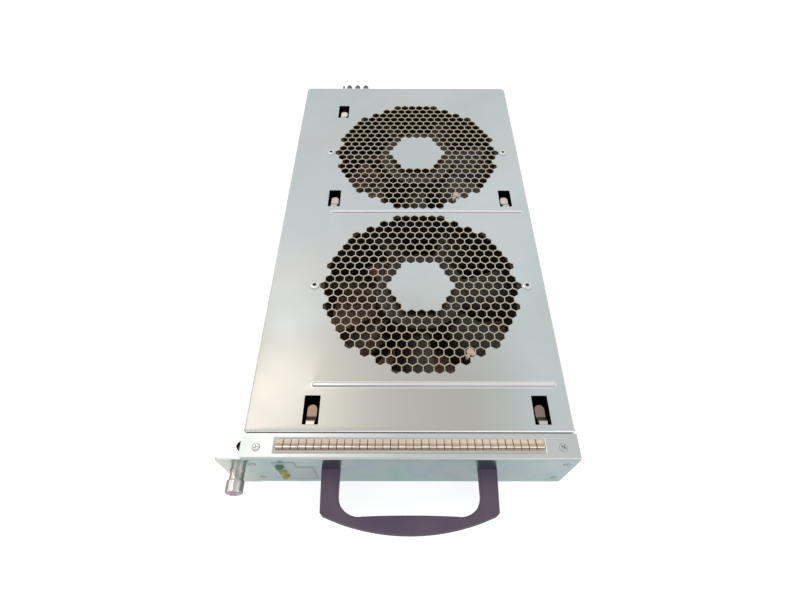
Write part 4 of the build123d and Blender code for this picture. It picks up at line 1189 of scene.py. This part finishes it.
def build_contact_strips():
    """Both spring-metal contact strips, and the top one's recess."""
    size = in_mm(settings().panel)
    for node in ("top_contact_strip", "side_contact_strip"):
        on_top = node.startswith("top")
        low, high = node_box(node)
        middle = (low + high) / 2
        z_axis, x_axis = (Vector(UP), Vector((1, 0, 0))) if on_top else (Vector((-1, 0, 0)), Vector(UP))
        seat = Matrix((x_axis, z_axis.cross(x_axis), z_axis)).transposed().to_4x4()
        length, depth = (high.x - low.x if on_top else high.z - low.z), high.y - low.y
        if on_top:
            seat.translation = (middle.x, middle.y, low.z)
            count, slit, bow = round(length / size.finger_pitch), size.finger_slit, high.z - low.z
        else:
            seat.translation = (high.x, middle.y, middle.z + size.side_lift)
            count, slit, bow = round(length / size.finger_pitch) + 1, size.finger_slit / 3, size.side_bow
        bm, rails = bmesh.new(), bmesh.new()
        draw_fingers(bm, rails, seat, count, size.finger_pitch, slit, depth, bow, on_top)
        finish_piece(f"{node}_fingers", bm, "contact_spring", stands_for=[node], crease=24)
        finish_piece(f"{node}_rail", rails, "contact_spring", crease=24, finish="mounting_tape")
        if on_top:
            build_recess(middle, length + 3.8, depth + 1.9, low.z)


# Front panel and label

def moved_inwards(outline, by):
    """A closed outline of right angles, moved inwards."""
    points = [Vector(point) for point in outline]
    moved = []
    for before, here, after in zip(points[-1:] + points[:-1], points, points[1:] + points[:1]):
        one, two = (here - before).normalized(), (after - here).normalized()
        moved.append(tuple(here + (Vector((-one.y, one.x)) + Vector((-two.y, two.x))) * by))
    return moved


def lay_film(name, outlines, slot, back, front, **options):
    """A thin film of an outline with holes, standing on the panel's face."""
    points, triangles, loops = flat_sheet(outlines)
    bm = bmesh.new()
    near = add_ring(bm, [(x, front, z) for x, z in points])
    far = add_ring(bm, [(x, back, z) for x, z in points])
    lay_triangles(bm, triangles, near, far)
    for loop in loops:
        bridge(bm, [near[i] for i in loop], [far[i] for i in loop])
    finish_piece(name, bm, slot, crease=30, **options)


def build_panel():
    """The front panel, the pan and the label."""
    keep_nodes("front_panel", edge_break=in_mm(settings().panel).edge_break)
    keep_nodes("base_pan", edge_break=0.3)
    # The label's outline has no upper right corner, and each lamp stands in a round hole of it
    low, high = node_box("status_label")
    step_x, step_z = low.x + 14.4, high.z - 10.0
    shape = [(low.x, low.z), (high.x, low.z), (high.x, step_z), (step_x, step_z), (step_x, high.z)]
    shape.append((low.x, high.z))
    lamp_low, lamp_high = node_box("ready_lamp")
    fault_low, fault_high = node_box("fault_lamps")
    lamp_x = (lamp_low.x + lamp_high.x) / 2
    lens, hole, film = 2.9, 2.75, 0.16
    lamp_zs = [(lamp_low.z + lamp_high.z) / 2, fault_high.z - lens, fault_low.z + lens]
    holes = [circle(lamp_x, z, hole, 28) for z in lamp_zs]
    lay_film("label_film", [shape, *holes], "label_film", face_y, face_y - film, stands_for=["status_label"])
    line = [moved_inwards(shape, 0.5), moved_inwards(shape, 0.85)]
    lay_film("label_border", line, "label_line", face_y - film + 0.04, face_y - film - 0.04)


# Handle

def build_handle():
    """The moulded pull handle with its rounded finger side."""
    size = in_mm(settings().handle)
    low, high = node_box("handle")
    root_y, front_y, half = high.y, low.y, high.x
    opening, gap_y = half - size.leg, root_y - size.gap_reach
    shoulder, far_shoulder = [(side * (half - size.taper), root_y - size.side_reach) for side in (1, -1)]
    front_arc = [shoulder] + smooth_arc(shoulder, (0.0, front_y), far_shoulder, 36)
    outer = [(half, root_y)]
    outer += round_corner(outer[0], shoulder, front_arc[1], size.outer_radius, 5)
    outer += front_arc[2:-2]
    outer += round_corner(front_arc[-2], far_shoulder, (-half, root_y), size.outer_radius, 5)
    outer += [(-half, root_y)]
    gap_left, gap_right = (-opening, gap_y - size.bow), (opening, gap_y - size.bow)
    gap_arc = [gap_left] + smooth_arc(gap_left, (0.0, gap_y), gap_right, 24)
    radius = size.inner_radius
    inner = [(-opening, root_y)]
    inner += round_corner(inner[0], gap_left, gap_arc[8], radius, 12)
    inner += [point for point in gap_arc if abs(point[0]) < opening - radius - 1.0]
    inner += round_corner(gap_arc[-9], gap_right, (opening, root_y), radius, 12)
    inner += [(opening, root_y)]
    loop = outer + inner
    bm = bmesh.new()
    lower, upper = skin(bm, [[(*point, z) for point in loop] for z in (low.z, high.z)], caps=True)
    bmesh.ops.recalc_face_normals(bm, faces=bm.faces)

    # Round the finger side first, then the level edges that are left outside
    rounding = {"profile": 0.5, "affect": "EDGES", "clamp_overlap": True}
    gap = range(len(outer), len(loop) - 1)
    rim = [bm.edges.get((ring[i], ring[i + 1])) for ring in (lower, upper) for i in gap]
    bmesh.ops.bevel(bm, geom=rim, offset=size.grip_edge, segments=7, **rounding)

    def is_outer_rim(edge):
        """Whether an edge runs along the outside of the top or bottom face."""
        one, two = (vert.co for vert in edge.verts)
        level = abs(one.z - two.z) < 1e-4 and min(abs(one.z - low.z), abs(one.z - high.z)) < 1e-4
        middle = (one + two) / 2
        outside = abs(middle.x) > opening + 0.6 * size.leg or middle.y < gap_y - 0.6 * (gap_y - front_y)
        along_root = abs(one.y - root_y) < 1e-4 and abs(two.y - root_y) < 1e-4
        sharp = len(edge.link_faces) == 2 and edge.calc_face_angle() > 0.8
        return level and outside and not along_root and sharp

    rim = [edge for edge in bm.edges if is_outer_rim(edge)]
    bmesh.ops.bevel(bm, geom=rim, offset=size.outer_edge, segments=5, **rounding)
    finish_piece("pull_handle", bm, "plum_plastic", stands_for=["handle"], crease=38)
    keep_nodes("handle_screws")


# Thumbscrew and fasteners

SEAM_WELD = 0.0005


def build_thumbscrew():
    """The captive thumbscrew with its ferrule, clip and spring."""
    screws = settings().screws
    depth = in_mm(screws).knurl_depth
    low, high = node_box("thumbscrew_ferrule")
    x, z = (low.x + high.x) / 2, (low.z + high.z) / 2
    seat = seat_at(x, face_y, z, FORWARD)
    knob_low, knob_high = node_box("thumbscrew_knob")
    head = (knob_high.x - knob_low.x) / 2
    start, front = face_y - knob_high.y, face_y - knob_low.y

    def ridges(radius, height, index):
        """Fine ridges along the middle of the knob."""
        inside = radius > head - 0.05 and start + 1.4 < height < front - 1.5
        return -depth * (0.5 - 0.5 * math.cos(index * math.pi)) if inside else 0.0

    bm = bmesh.new()
    turned(bm, seat, [
        (1.6, 11.6), (4.8, 11.6), (4.8, start + 0.2), (4.95, start), (head - 0.3, start + 0.1),
        (head - 0.05, start + 0.5), (head, start + 1.0), (head, start + 1.35), (head, start + 1.5),
        (head, front - 1.6), (head, front - 1.45), (head - 0.02, front - 1.15), (head - 0.14, front - 0.92),
    ], sides=screws.knurls * 2, ripple=ridges)
    finish_piece(
        "knob_turned", bm, "nickel_plate", body="thumbscrew", stands_for=["thumbscrew_knob"], crease=38,
    )
    bm = bmesh.new()
    turned(bm, seat, [
        (head - 0.14, front - 0.92), (head - 1.05, front - 0.12), (head - 1.3, front), (2.75, front),
        (2.6, front - 0.08), (2.5, front - 0.35), (2.35, front - 0.62), (0.0, front - 0.7),
    ], sides=screws.knurls * 2)
    # The front end has the darker copy of the knob's metal, as painted shade
    finish_piece("knob_front", bm, "nickel_plate", body="thumbscrew", crease=38, finish="knob_front")

    bm = bmesh.new()
    flange, sleeve, bore, hole, shank = (high.x - low.x) / 2, 4.6, 3.4, 2.08, 3.75
    turned(bm, seat, [
        (bore + 0.15, 6.1), (bore, 5.9), (bore, 0.6), (hole, 0.6), (hole, -2.4), (shank, -2.4), (shank, 0.0),
        (flange - 0.1, 0.0), (flange, 0.1), (flange, 0.6), (flange - 0.06, 0.74), (flange - 0.18, 0.8),
        (sleeve + 0.1, 0.82), (sleeve, 0.92), (sleeve, 5.85), (sleeve - 0.2, 6.08), (bore + 0.15, 6.1),
    ], sides=56)
    finish_piece(
        "ferrule_turned", bm, "nickel_plate", stands_for=["thumbscrew_ferrule"], crease=38, weld=SEAM_WELD,
    )
    keep_nodes("thumbscrew_shank", "thumbscrew_clip")

    low, high = node_box("thumbscrew_spring")
    wire, coils, steps = 0.22, 3, 26
    reach, rise = (high.x - low.x) / 2 - wire, high.y - low.y - 2 * wire
    rings = []
    for i in range(coils * steps + 1):
        share = i / (coils * steps)
        angle = 2 * math.pi * coils * share
        out = Vector((math.cos(angle), 0, math.sin(angle)))
        middle = Vector((x, high.y - wire - rise * share, z)) + out * reach
        rings.append([
            middle + (out * math.cos(a) + Vector(REARWARD) * math.sin(a)) * wire for a in turns(0, 315, 7)
        ])
    bm = bmesh.new()
    skin(bm, rings, caps=True)
    coil = finish_piece(
        "coil_spring", bm, "steel_hardware", body=None, stands_for=["thumbscrew_spring"], crease=50,
    )
    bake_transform(coil)


def draw_dome(bm, seat, radius, rise, hole, hole_depth, shank, length, sides=40):
    """A blind rivet: a low dome with a hollow middle over its shank."""
    span = radius - hole - 0.3
    turned(bm, seat, [
        (0.0, -length), (shank, -length), (shank, -0.05), (radius, -0.05), (radius, rise * 0.25),
        *[(radius - span * share, rise * 0.4 + rise * 0.6 * math.sqrt(1 - (1 - share) ** 2))
          for share in (0.04, 0.14, 0.3, 0.5, 0.72, 0.9)],
        (hole + 0.3, rise), (hole + 0.1, rise - 0.04), (hole, rise - 0.18),
        (hole * 0.97, rise - hole_depth), (0.0, rise - hole_depth - 0.08),
    ], sides=sides)


def draw_cross_head(bm, seat, radius, rise, sink, shank, length, sides=48):
    """A low pan head with a cross recess, over its shank."""
    arm, bar, depth = radius * 0.62, radius * 0.13, 1.0
    cross = [
        (arm, -bar), (arm, bar), (bar, bar), (bar, arm), (-bar, arm), (-bar, bar),
        (-arm, bar), (-arm, -bar), (-bar, -bar), (-bar, -arm), (bar, -arm), (bar, -bar),
    ]
    flat_share = 0.78
    flat = radius * flat_share
    ring = circle(0, 0, flat, sides)
    points, triangles, loops = flat_sheet([ring, cross])
    crown = 0.12 * rise
    verts = add_ring(bm, [seat @ Vector((x, y, rise - crown * math.hypot(x, y) / flat)) for x, y in points])
    lay_triangles(bm, triangles, verts)
    edge = [verts[i] for i in loops[0]]
    for reach, height in (
        (0.88, rise * 0.76), (0.95, rise * 0.55), (0.99, rise * 0.3), (1.0, 0.0), (1.0, -sink),
        (shank / radius, -sink), (shank / radius, -length),
    ):
        grow = reach / flat_share
        step = add_ring(bm, [seat @ Vector((x * grow, y * grow, height)) for x, y in ring])
        bridge(bm, edge, step)
        edge = step
    bm.faces.new(edge)
    floor = add_ring(bm, [seat @ Vector((x * 0.7, y * 0.7, rise - depth)) for x, y in cross])
    bridge(bm, [verts[i] for i in loops[1]], floor)
    bm.faces.new(floor)


def build_fasteners():
    """Rivets and screws of the cover and the panel."""
    low, high = node_box("panel_screws")
    radius = (high.y - low.y) / 2
    bm = bmesh.new()
    for x, turn in ((low.x + radius, 0.35), (high.x - radius, 1.1)):
        seat = seat_at(x, low.y + radius, top_z, UP) @ Matrix.Rotation(turn, 4, "Z")
        draw_cross_head(bm, seat, radius, rise=0.5, sink=1.1, shank=1.5, length=top_z - low.z)
    finish_piece("panel_screw_heads", bm, "steel_hardware", stands_for=["panel_screws"])

    low, high = node_box("face_rivets")
    radius, margin, rise = 2.4, 2.45, face_y - low.y
    bm = bmesh.new()
    for x in (low.x + margin, high.x - margin):
        for z in (low.z + margin, high.z - margin):
            seat = seat_at(x, face_y, z, FORWARD)
            draw_dome(
                bm, seat, radius, rise, hole=0.85, hole_depth=rise * 0.7, shank=1.5, length=high.y - face_y,
                sides=32,
            )
    finish_piece(
        "face_rivet_heads", bm, "rivet_metal", stands_for=["face_rivets"], crease=50, finish="dull_rivet",
    )

    low, high = node_box("fan_rivets")
    radius = 3.8
    bm, stubs = bmesh.new(), bmesh.new()
    for centre in fans_by_side.values():
        for x in (low.x + radius, high.x - radius):
            seat = seat_at(x, centre.y, top_z, UP)
            rise, length = high.z - top_z, top_z - low.z
            draw_dome(bm, seat, radius, rise, hole=1.45, hole_depth=2.2, shank=2.2, length=length)
            turned(stubs, seat, [(1.42, -0.6), (1.42, 0.35), (1.2, 0.5), (0.5, 0.3), (0.0, 0.42)], sides=24)
    finish_piece("fan_rivet_domes", bm, "rivet_metal", stands_for=["fan_rivets"], crease=50)
    finish_piece("fan_rivet_stubs", stubs, "dark_steel", crease=40)
    keep_nodes("fan_screws", "clinch_nuts", "board_spacers", "lamp_board")


# Lamps

def build_lamps():
    """Three domed lenses in the front panel."""
    for node, slot, count in (("ready_lamp", "green_lens", 1), ("fault_lamps", "amber_lens", 2)):
        low, high = node_box(node)
        radius, rise = (high.x - low.x) / 2, face_y - low.y
        lens, rim = radius - 0.12, 0.12
        dome = [(lens * math.cos(a), rim + (rise - rim) * math.sin(a)) for a in turns(0, 90, 9)[1:-1]]
        bm = bmesh.new()
        for z in [(low.z + high.z) / 2] if count == 1 else [low.z + radius, high.z - radius]:
            seat = seat_at((low.x + high.x) / 2, face_y, z, FORWARD)
            turned(bm, seat, [(lens, face_y - high.y), (lens, rim), *dome, (0.0, rise)], sides=36)
        finish_piece(f"{node}_lens", bm, slot, stands_for=[node], crease=45)


# Fans

def reach_share(root, tip, radius):
    """How far along a line from root to tip the distance from the axis reaches a radius."""
    dx, dy = tip.x - root.x, tip.y - root.y
    a = dx * dx + dy * dy
    b = root.x * dx + root.y * dy
    c = root.x**2 + root.y**2 - radius**2
    return (-b + math.sqrt(max(b * b - a * c, 0.0))) / a


def blade_rings(fans, middle, hub_radius, tip_radius, inner_radius, outer_radius):
    """Sections of one twisted blade from the hub to the tip, as rings of points round the fan's axis."""
    stations, steps = 14, 9
    size = in_mm(fans)
    root_and_tip = (
        (hub_radius, size.root_chord, fans.root_angle, 0.0),
        (tip_radius, size.tip_chord, fans.tip_angle, size.tip_sweep),
    )
    rules = []
    for sign in (1, -1):
        for k in range(0, stations + 1) if sign > 0 else range(stations, -1, -1):
            share = 2 * k / stations - 1
            arch = 1 - share * share
            rise = size.camber * arch + sign * max(size.thickness / 2 * arch, 0.3 * arch**0.25)
            ends = []
            for x, chord, angle, sweep in root_and_tip:
                along = share * chord / 2
                ends.append(Vector((
                    x,
                    sweep + along * math.cos(angle) - rise * math.sin(angle),
                    middle + along * math.sin(angle) + rise * math.cos(angle),
                )))
            rules.append(ends)
    rings = []
    for i in range(steps + 1):
        ring = []
        for root, tip in rules:
            low, high = reach_share(root, tip, inner_radius), reach_share(root, tip, outer_radius)
            ring.append(root.lerp(tip, low + (high - low) * i / steps))
        rings.append(ring)
    return rings


def build_fans():
    """Both fans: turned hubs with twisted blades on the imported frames, motors and boards."""
    fans = settings().fans
    hub, tip, wall = 35.4, 72.0, 1.8
    root, past_tip, overlap, lift = hub * 0.8, tip + 2.0, 0.6, 0.75
    for side, centre in fans_by_side.items():
        low, high = node_box(f"{side}_fan_impeller")
        seat = Matrix.Translation((centre.x, centre.y, 0))
        bm = bmesh.new()
        turned(bm, seat, [
            (hub - wall, low.z), (hub, low.z), (hub, high.z - 2.2), (hub - 0.5, high.z - 0.9),
            (hub - 1.6, high.z - 0.2), (hub - 3.0, high.z), (9.0, high.z), (8.6, high.z - 0.3),
            (8.4, high.z - 0.9), (0.0, high.z - 0.9),
        ], sides=72)
        turned(bm, seat, [(hub - wall, low.z), (hub - wall, high.z - 2.6), (0.0, high.z - 2.6)], sides=72)
        middle = (low.z + high.z) / 2 + lift
        for blade in range(fans.blades):
            turn = seat @ Matrix.Rotation(2 * math.pi * blade / fans.blades, 4, "Z")
            rings = blade_rings(fans, middle, root, past_tip, hub - overlap, tip)
            bm.faces.new(skin(bm, [[turn @ point for point in ring] for ring in rings])[-1])
        finish_piece(
            f"{side}_impeller_moulding", bm, "impeller_plastic", body=f"{side}_impeller",
            stands_for=[f"{side}_fan_impeller"], weld=SEAM_WELD,
        )
        keep_nodes(f"{side}_fan_frame", edge_break=0.5)
        motor = ("bearings", "board", "stator", "windings", "magnet", "rotor_cup", "shaft", "clip")
        keep_nodes(*[f"{side}_fan_{part}" for part in motor])


# Connector

def build_connector():
    """The rear connector's sleeves and housing."""
    keep_nodes("connector_housing", edge_break=0.35)
    keep_nodes("connector_sockets", "connector_screws")
    low, high = node_box("connector_sleeves")
    radius, bore, length = 2.85, 1.8, high.y - low.y
    bm = bmesh.new()
    for x in (low.x + radius, (low.x + high.x) / 2, high.x - radius):
        turned(bm, seat_at(x, low.y, (low.z + high.z) / 2, REARWARD), [
            (bore, 2.5), (bore, length - 0.25), (bore + 0.2, length), (radius - 0.25, length),
            (radius, length - 0.3), (radius, 0.0), (bore, 0.0), (bore, 2.5),
        ], sides=36)
    finish_piece(
        "connector_sleeve_tubes", bm, "connector_plastic", stands_for=["connector_sleeves"],
        weld=SEAM_WELD, crease=35,
    )


# Cable ties on the grilles

# The band passes up through one cell, over the web and down the next: (along, up)
BAND_PATH = (
    (-1.5, -2.7), (-1.45, -1.6), (-1.3, -0.3), (-0.9, 0.35), (-0.2, 0.62), (0.5, 0.62), (1.2, 0.4),
    (1.7, -0.2), (1.9, -1.6), (1.95, -2.7),
)
# Head and cut end, over the next cell and on the sheet beside it: (along, half width, up, thickness)
HEAD_SECTIONS = (
    (-1.9, 1.2, 0.10, 0.8), (-1.4, 1.9, 0.12, 1.3), (-0.6, 2.3, 0.16, 1.6), (0.8, 2.4, 0.22, 1.6),
    (1.8, 2.2, 0.24, 1.4), (2.8, 1.8, 0.26, 1.0), (3.8, 1.5, 0.30, 0.8), (4.5, 1.1, 0.34, 0.6),
)


def build_ties():
    """A short nylon tie round a grille web of each fan, its flat end lying on the sheet."""
    pitch = in_mm(settings().cover).pitch
    row = pitch * math.sqrt(3) / 2
    band_half, band_thick = 1.15, 0.42
    for side, centre in fans_by_side.items():
        # The band goes round the web between these two cells
        start = Vector((centre.x + 4.0 * pitch, centre.y - 10 * row, top_z))
        end = Vector((centre.x + 4.5 * pitch, centre.y - 9 * row, top_z))
        along = (end - start).normalized()
        across = Vector((-along.y, along.x, 0))
        bm = bmesh.new()
        skin(bm, [
            [(start + end) / 2 + along * s + across * w + Vector((0, 0, z + lift)) for w, lift in (
                (-band_half, 0.0), (band_half, 0.0), (band_half, band_thick), (-band_half, band_thick),
            )]
            for s, z in BAND_PATH
        ], caps=True)
        forward, aside = Vector((0.82, -0.57, 0)), Vector((0.57, 0.82, 0))
        root = end + Vector((-0.6, 0.2, 0))
        skin(bm, [
            [root + forward * s + aside * w + Vector((0, 0, z + up)) for w, up in (
                (-half, 0.0), (half, 0.0), (half, thick * 0.8),
                (half * 0.8, thick), (-half * 0.8, thick), (-half, thick * 0.8),
            )]
            for s, half, z, thick in HEAD_SECTIONS
        ], caps=True)
        finish_piece(f"{side}_grille_tie", bm, "natural_nylon", crease=35)


# Stage

def floor_material(stage):
    """A plain floor that shows white, without its glow under the tray, where it has a painted browner shade.
    """
    material, tree, bsdf = start_material("Plain Floor", roughness=0.9, specular_ior_level=0.1)
    paths = tree.nodes.new("ShaderNodeLightPath").outputs
    straight = combine(tree, "MULTIPLY", paths["Is Camera Ray"], stage.floor_glow)
    mirrored = combine(tree, "MAXIMUM", paths["Is Glossy Ray"], paths["Is Transmission Ray"])
    mirrored = combine(tree, "MULTIPLY", mirrored, stage.floor_reflected)
    glow = combine(tree, "MAXIMUM", straight, mirrored)
    place = axes(tree)
    clear = combine(tree, "MAXIMUM", *[
        fade(tree, combine(tree, "ABSOLUTE", place[axis]), (half - 12.0) * MM, (half - 2.0) * MM)
        for axis, half in (("X", cover_high.x), ("Y", cover_high.y))
    ])
    # Painted shade colour under the tray
    colour = blend_colours(tree, clear, stage.under_tray, stage.floor_colour)
    tree.links.new(colour, bsdf.inputs["Base Color"])
    bsdf.inputs["Emission Color"].default_value = (1, 1, 1, 1)
    tree.links.new(combine(tree, "MULTIPLY", glow, clear), bsdf.inputs["Emission Strength"])
    return material


def build_stage():
    """Floor, surrounding light, lamps and camera."""
    stage = settings().stage
    scene = bpy.context.scene
    floor_z = min(node_box("base_pan")[0].z, node_box("front_panel")[0].z) - 0.3
    bm = bmesh.new()
    rings = [(6000.0, 0.0), (3000.0, 0.0), (1500.0, 0.0), (0.0, 0.0)]
    turned(bm, Matrix.Translation((0, 0, floor_z)), rings, sides=64)
    floor, mesh = to_object("studio_floor", bm)
    mesh.materials.append(floor_material(stage))

    world = bpy.data.worlds.new("Studio")
    scene.world = world
    world.use_nodes = True
    tree = world.node_tree
    back = tree.nodes["Background"]
    paths = tree.nodes.new("ShaderNodeLightPath").outputs
    seen = combine(tree, "MAXIMUM", paths["Is Camera Ray"], paths["Is Glossy Ray"])
    seen = combine(tree, "MAXIMUM", seen, paths["Is Transmission Ray"])
    back.inputs["Color"].default_value = (1, 1, 1, 1)
    tree.links.new(spread(tree, seen, stage.sky, 1.0), back.inputs["Strength"])

    key, fill, rear = stage.key_colour[:3], (1.0, 1.0, 1.0), (1.0, 0.99, 0.96)
    for name, power, colour, size, place, aim in (
        ("Key Lamp", stage.key_power, key, 0.42, (-0.400, 0.200, 0.945), (-0.02, -0.04, 0.05)),
        ("Fill Lamp", stage.fill_power, fill, 0.9, (0.500, -0.800, 0.700), (0.0, -0.12, 0.03)),
        ("Rear Lamp", stage.rear_power, rear, 0.5, (0.380, 0.750, 0.945), (0.04, 0.0, 0.05)),
    ):
        lamp = bpy.data.lights.new(name, "AREA")
        lamp.shape = "DISK"
        lamp.size = size
        lamp.energy = power
        lamp.color = colour
        holder = bpy.data.objects.new(name, lamp)
        holder.matrix_world = seat_at(*place, Vector(place) - Vector(aim))
        scene.collection.objects.link(holder)

    optics = bpy.data.cameras.new("Photo Camera")
    optics.lens = stage.lens
    optics.sensor_width = 36.0
    optics.clip_start = 0.01
    camera = bpy.data.objects.new("Photo Camera", optics)
    sine, cosine = math.sin(stage.downward), math.cos(stage.downward)
    level = Matrix(((1, 0, 0), (0, -sine, -cosine), (0, cosine, -sine)))
    look = Matrix.Rotation(stage.tilt, 3, "Z") @ Matrix.Rotation(stage.swing, 3, "Y") @ level
    turn = Matrix((look[0], -look[1], -look[2])).transposed()
    camera.matrix_world = Matrix.Translation(stage.place) @ turn.to_4x4()
    scene.collection.objects.link(camera)
    scene.camera = camera
    scene.view_settings.view_transform = "Standard"


# Operators

class CoverOperator(bpy.types.Operator):
    """Build the cover sheet with its grilles, beads and hooks"""

    bl_idname = "fan_tray.cover"
    bl_label = "Cover"

    def execute(self, context):
        build_cover()
        return {"FINISHED"}


class StripsOperator(bpy.types.Operator):
    """Build the two contact strips"""

    bl_idname = "fan_tray.strips"
    bl_label = "Contact Strips"

    def execute(self, context):
        build_contact_strips()
        return {"FINISHED"}


class PanelOperator(bpy.types.Operator):
    """Dress the front panel, the pan and the label"""

    bl_idname = "fan_tray.panel"
    bl_label = "Panel And Label"

    def execute(self, context):
        build_panel()
        return {"FINISHED"}


class HandleOperator(bpy.types.Operator):
    """Build the pull handle"""

    bl_idname = "fan_tray.handle"
    bl_label = "Handle"

    def execute(self, context):
        build_handle()
        return {"FINISHED"}


class ThumbscrewOperator(bpy.types.Operator):
    """Build the captive thumbscrew"""

    bl_idname = "fan_tray.thumbscrew"
    bl_label = "Thumbscrew"

    def execute(self, context):
        build_thumbscrew()
        return {"FINISHED"}


class FastenersOperator(bpy.types.Operator):
    """Build the rivets and screws"""

    bl_idname = "fan_tray.fasteners"
    bl_label = "Fasteners"

    def execute(self, context):
        build_fasteners()
        return {"FINISHED"}


class LampsOperator(bpy.types.Operator):
    """Build the status lamps"""

    bl_idname = "fan_tray.lamps"
    bl_label = "Lamps"

    def execute(self, context):
        build_lamps()
        return {"FINISHED"}


class FansOperator(bpy.types.Operator):
    """Build both fans"""

    bl_idname = "fan_tray.fans"
    bl_label = "Fans"

    def execute(self, context):
        build_fans()
        return {"FINISHED"}


class ConnectorOperator(bpy.types.Operator):
    """Build the rear connector"""

    bl_idname = "fan_tray.connector"
    bl_label = "Connector"

    def execute(self, context):
        build_connector()
        return {"FINISHED"}


class TiesOperator(bpy.types.Operator):
    """Build the cable ties on the grilles"""

    bl_idname = "fan_tray.ties"
    bl_label = "Cable Ties"

    def execute(self, context):
        build_ties()
        return {"FINISHED"}


class StageOperator(bpy.types.Operator):
    """Set up the floor, light and camera"""

    bl_idname = "fan_tray.stage"
    bl_label = "Stage"

    def execute(self, context):
        build_stage()
        return {"FINISHED"}


OPERATORS = (
    CoverOperator, StripsOperator, PanelOperator, HandleOperator, ThumbscrewOperator, FastenersOperator,
    LampsOperator, FansOperator, ConnectorOperator, TiesOperator, StageOperator,
)


class FanTrayPanel(bpy.types.Panel):
    """Buttons that build each part of the fan tray"""

    bl_idname = "FANTRAY_PT_build"
    bl_label = "Fan Tray"
    bl_space_type = "VIEW_3D"
    bl_region_type = "UI"
    bl_category = "Fan Tray"

    def draw(self, context):
        for operator in OPERATORS:
            self.layout.operator(operator.bl_idname)


CLASSES = (
    CoverSettings, PanelSettings, HandleSettings, ScrewSettings, LampSettings, FanSettings, StageSettings,
    TraySettings, *OPERATORS, FanTrayPanel,
)


def register():
    """Register the settings, operators and panel."""
    for entry in CLASSES:
        bpy.utils.register_class(entry)
    bpy.types.Scene.fan_tray = bpy.props.PointerProperty(type=TraySettings)


def unregister():
    """Remove them again."""
    del bpy.types.Scene.fan_tray
    for entry in reversed(CLASSES):
        bpy.utils.unregister_class(entry)


def main():
    """Build everything in order."""
    register()
    for operator in OPERATORS:
        group, name = operator.bl_idname.split(".")
        if getattr(getattr(bpy.ops, group), name)() != {"FINISHED"}:
            raise RuntimeError(operator.bl_label)


if __name__ == "__main__":
    main()
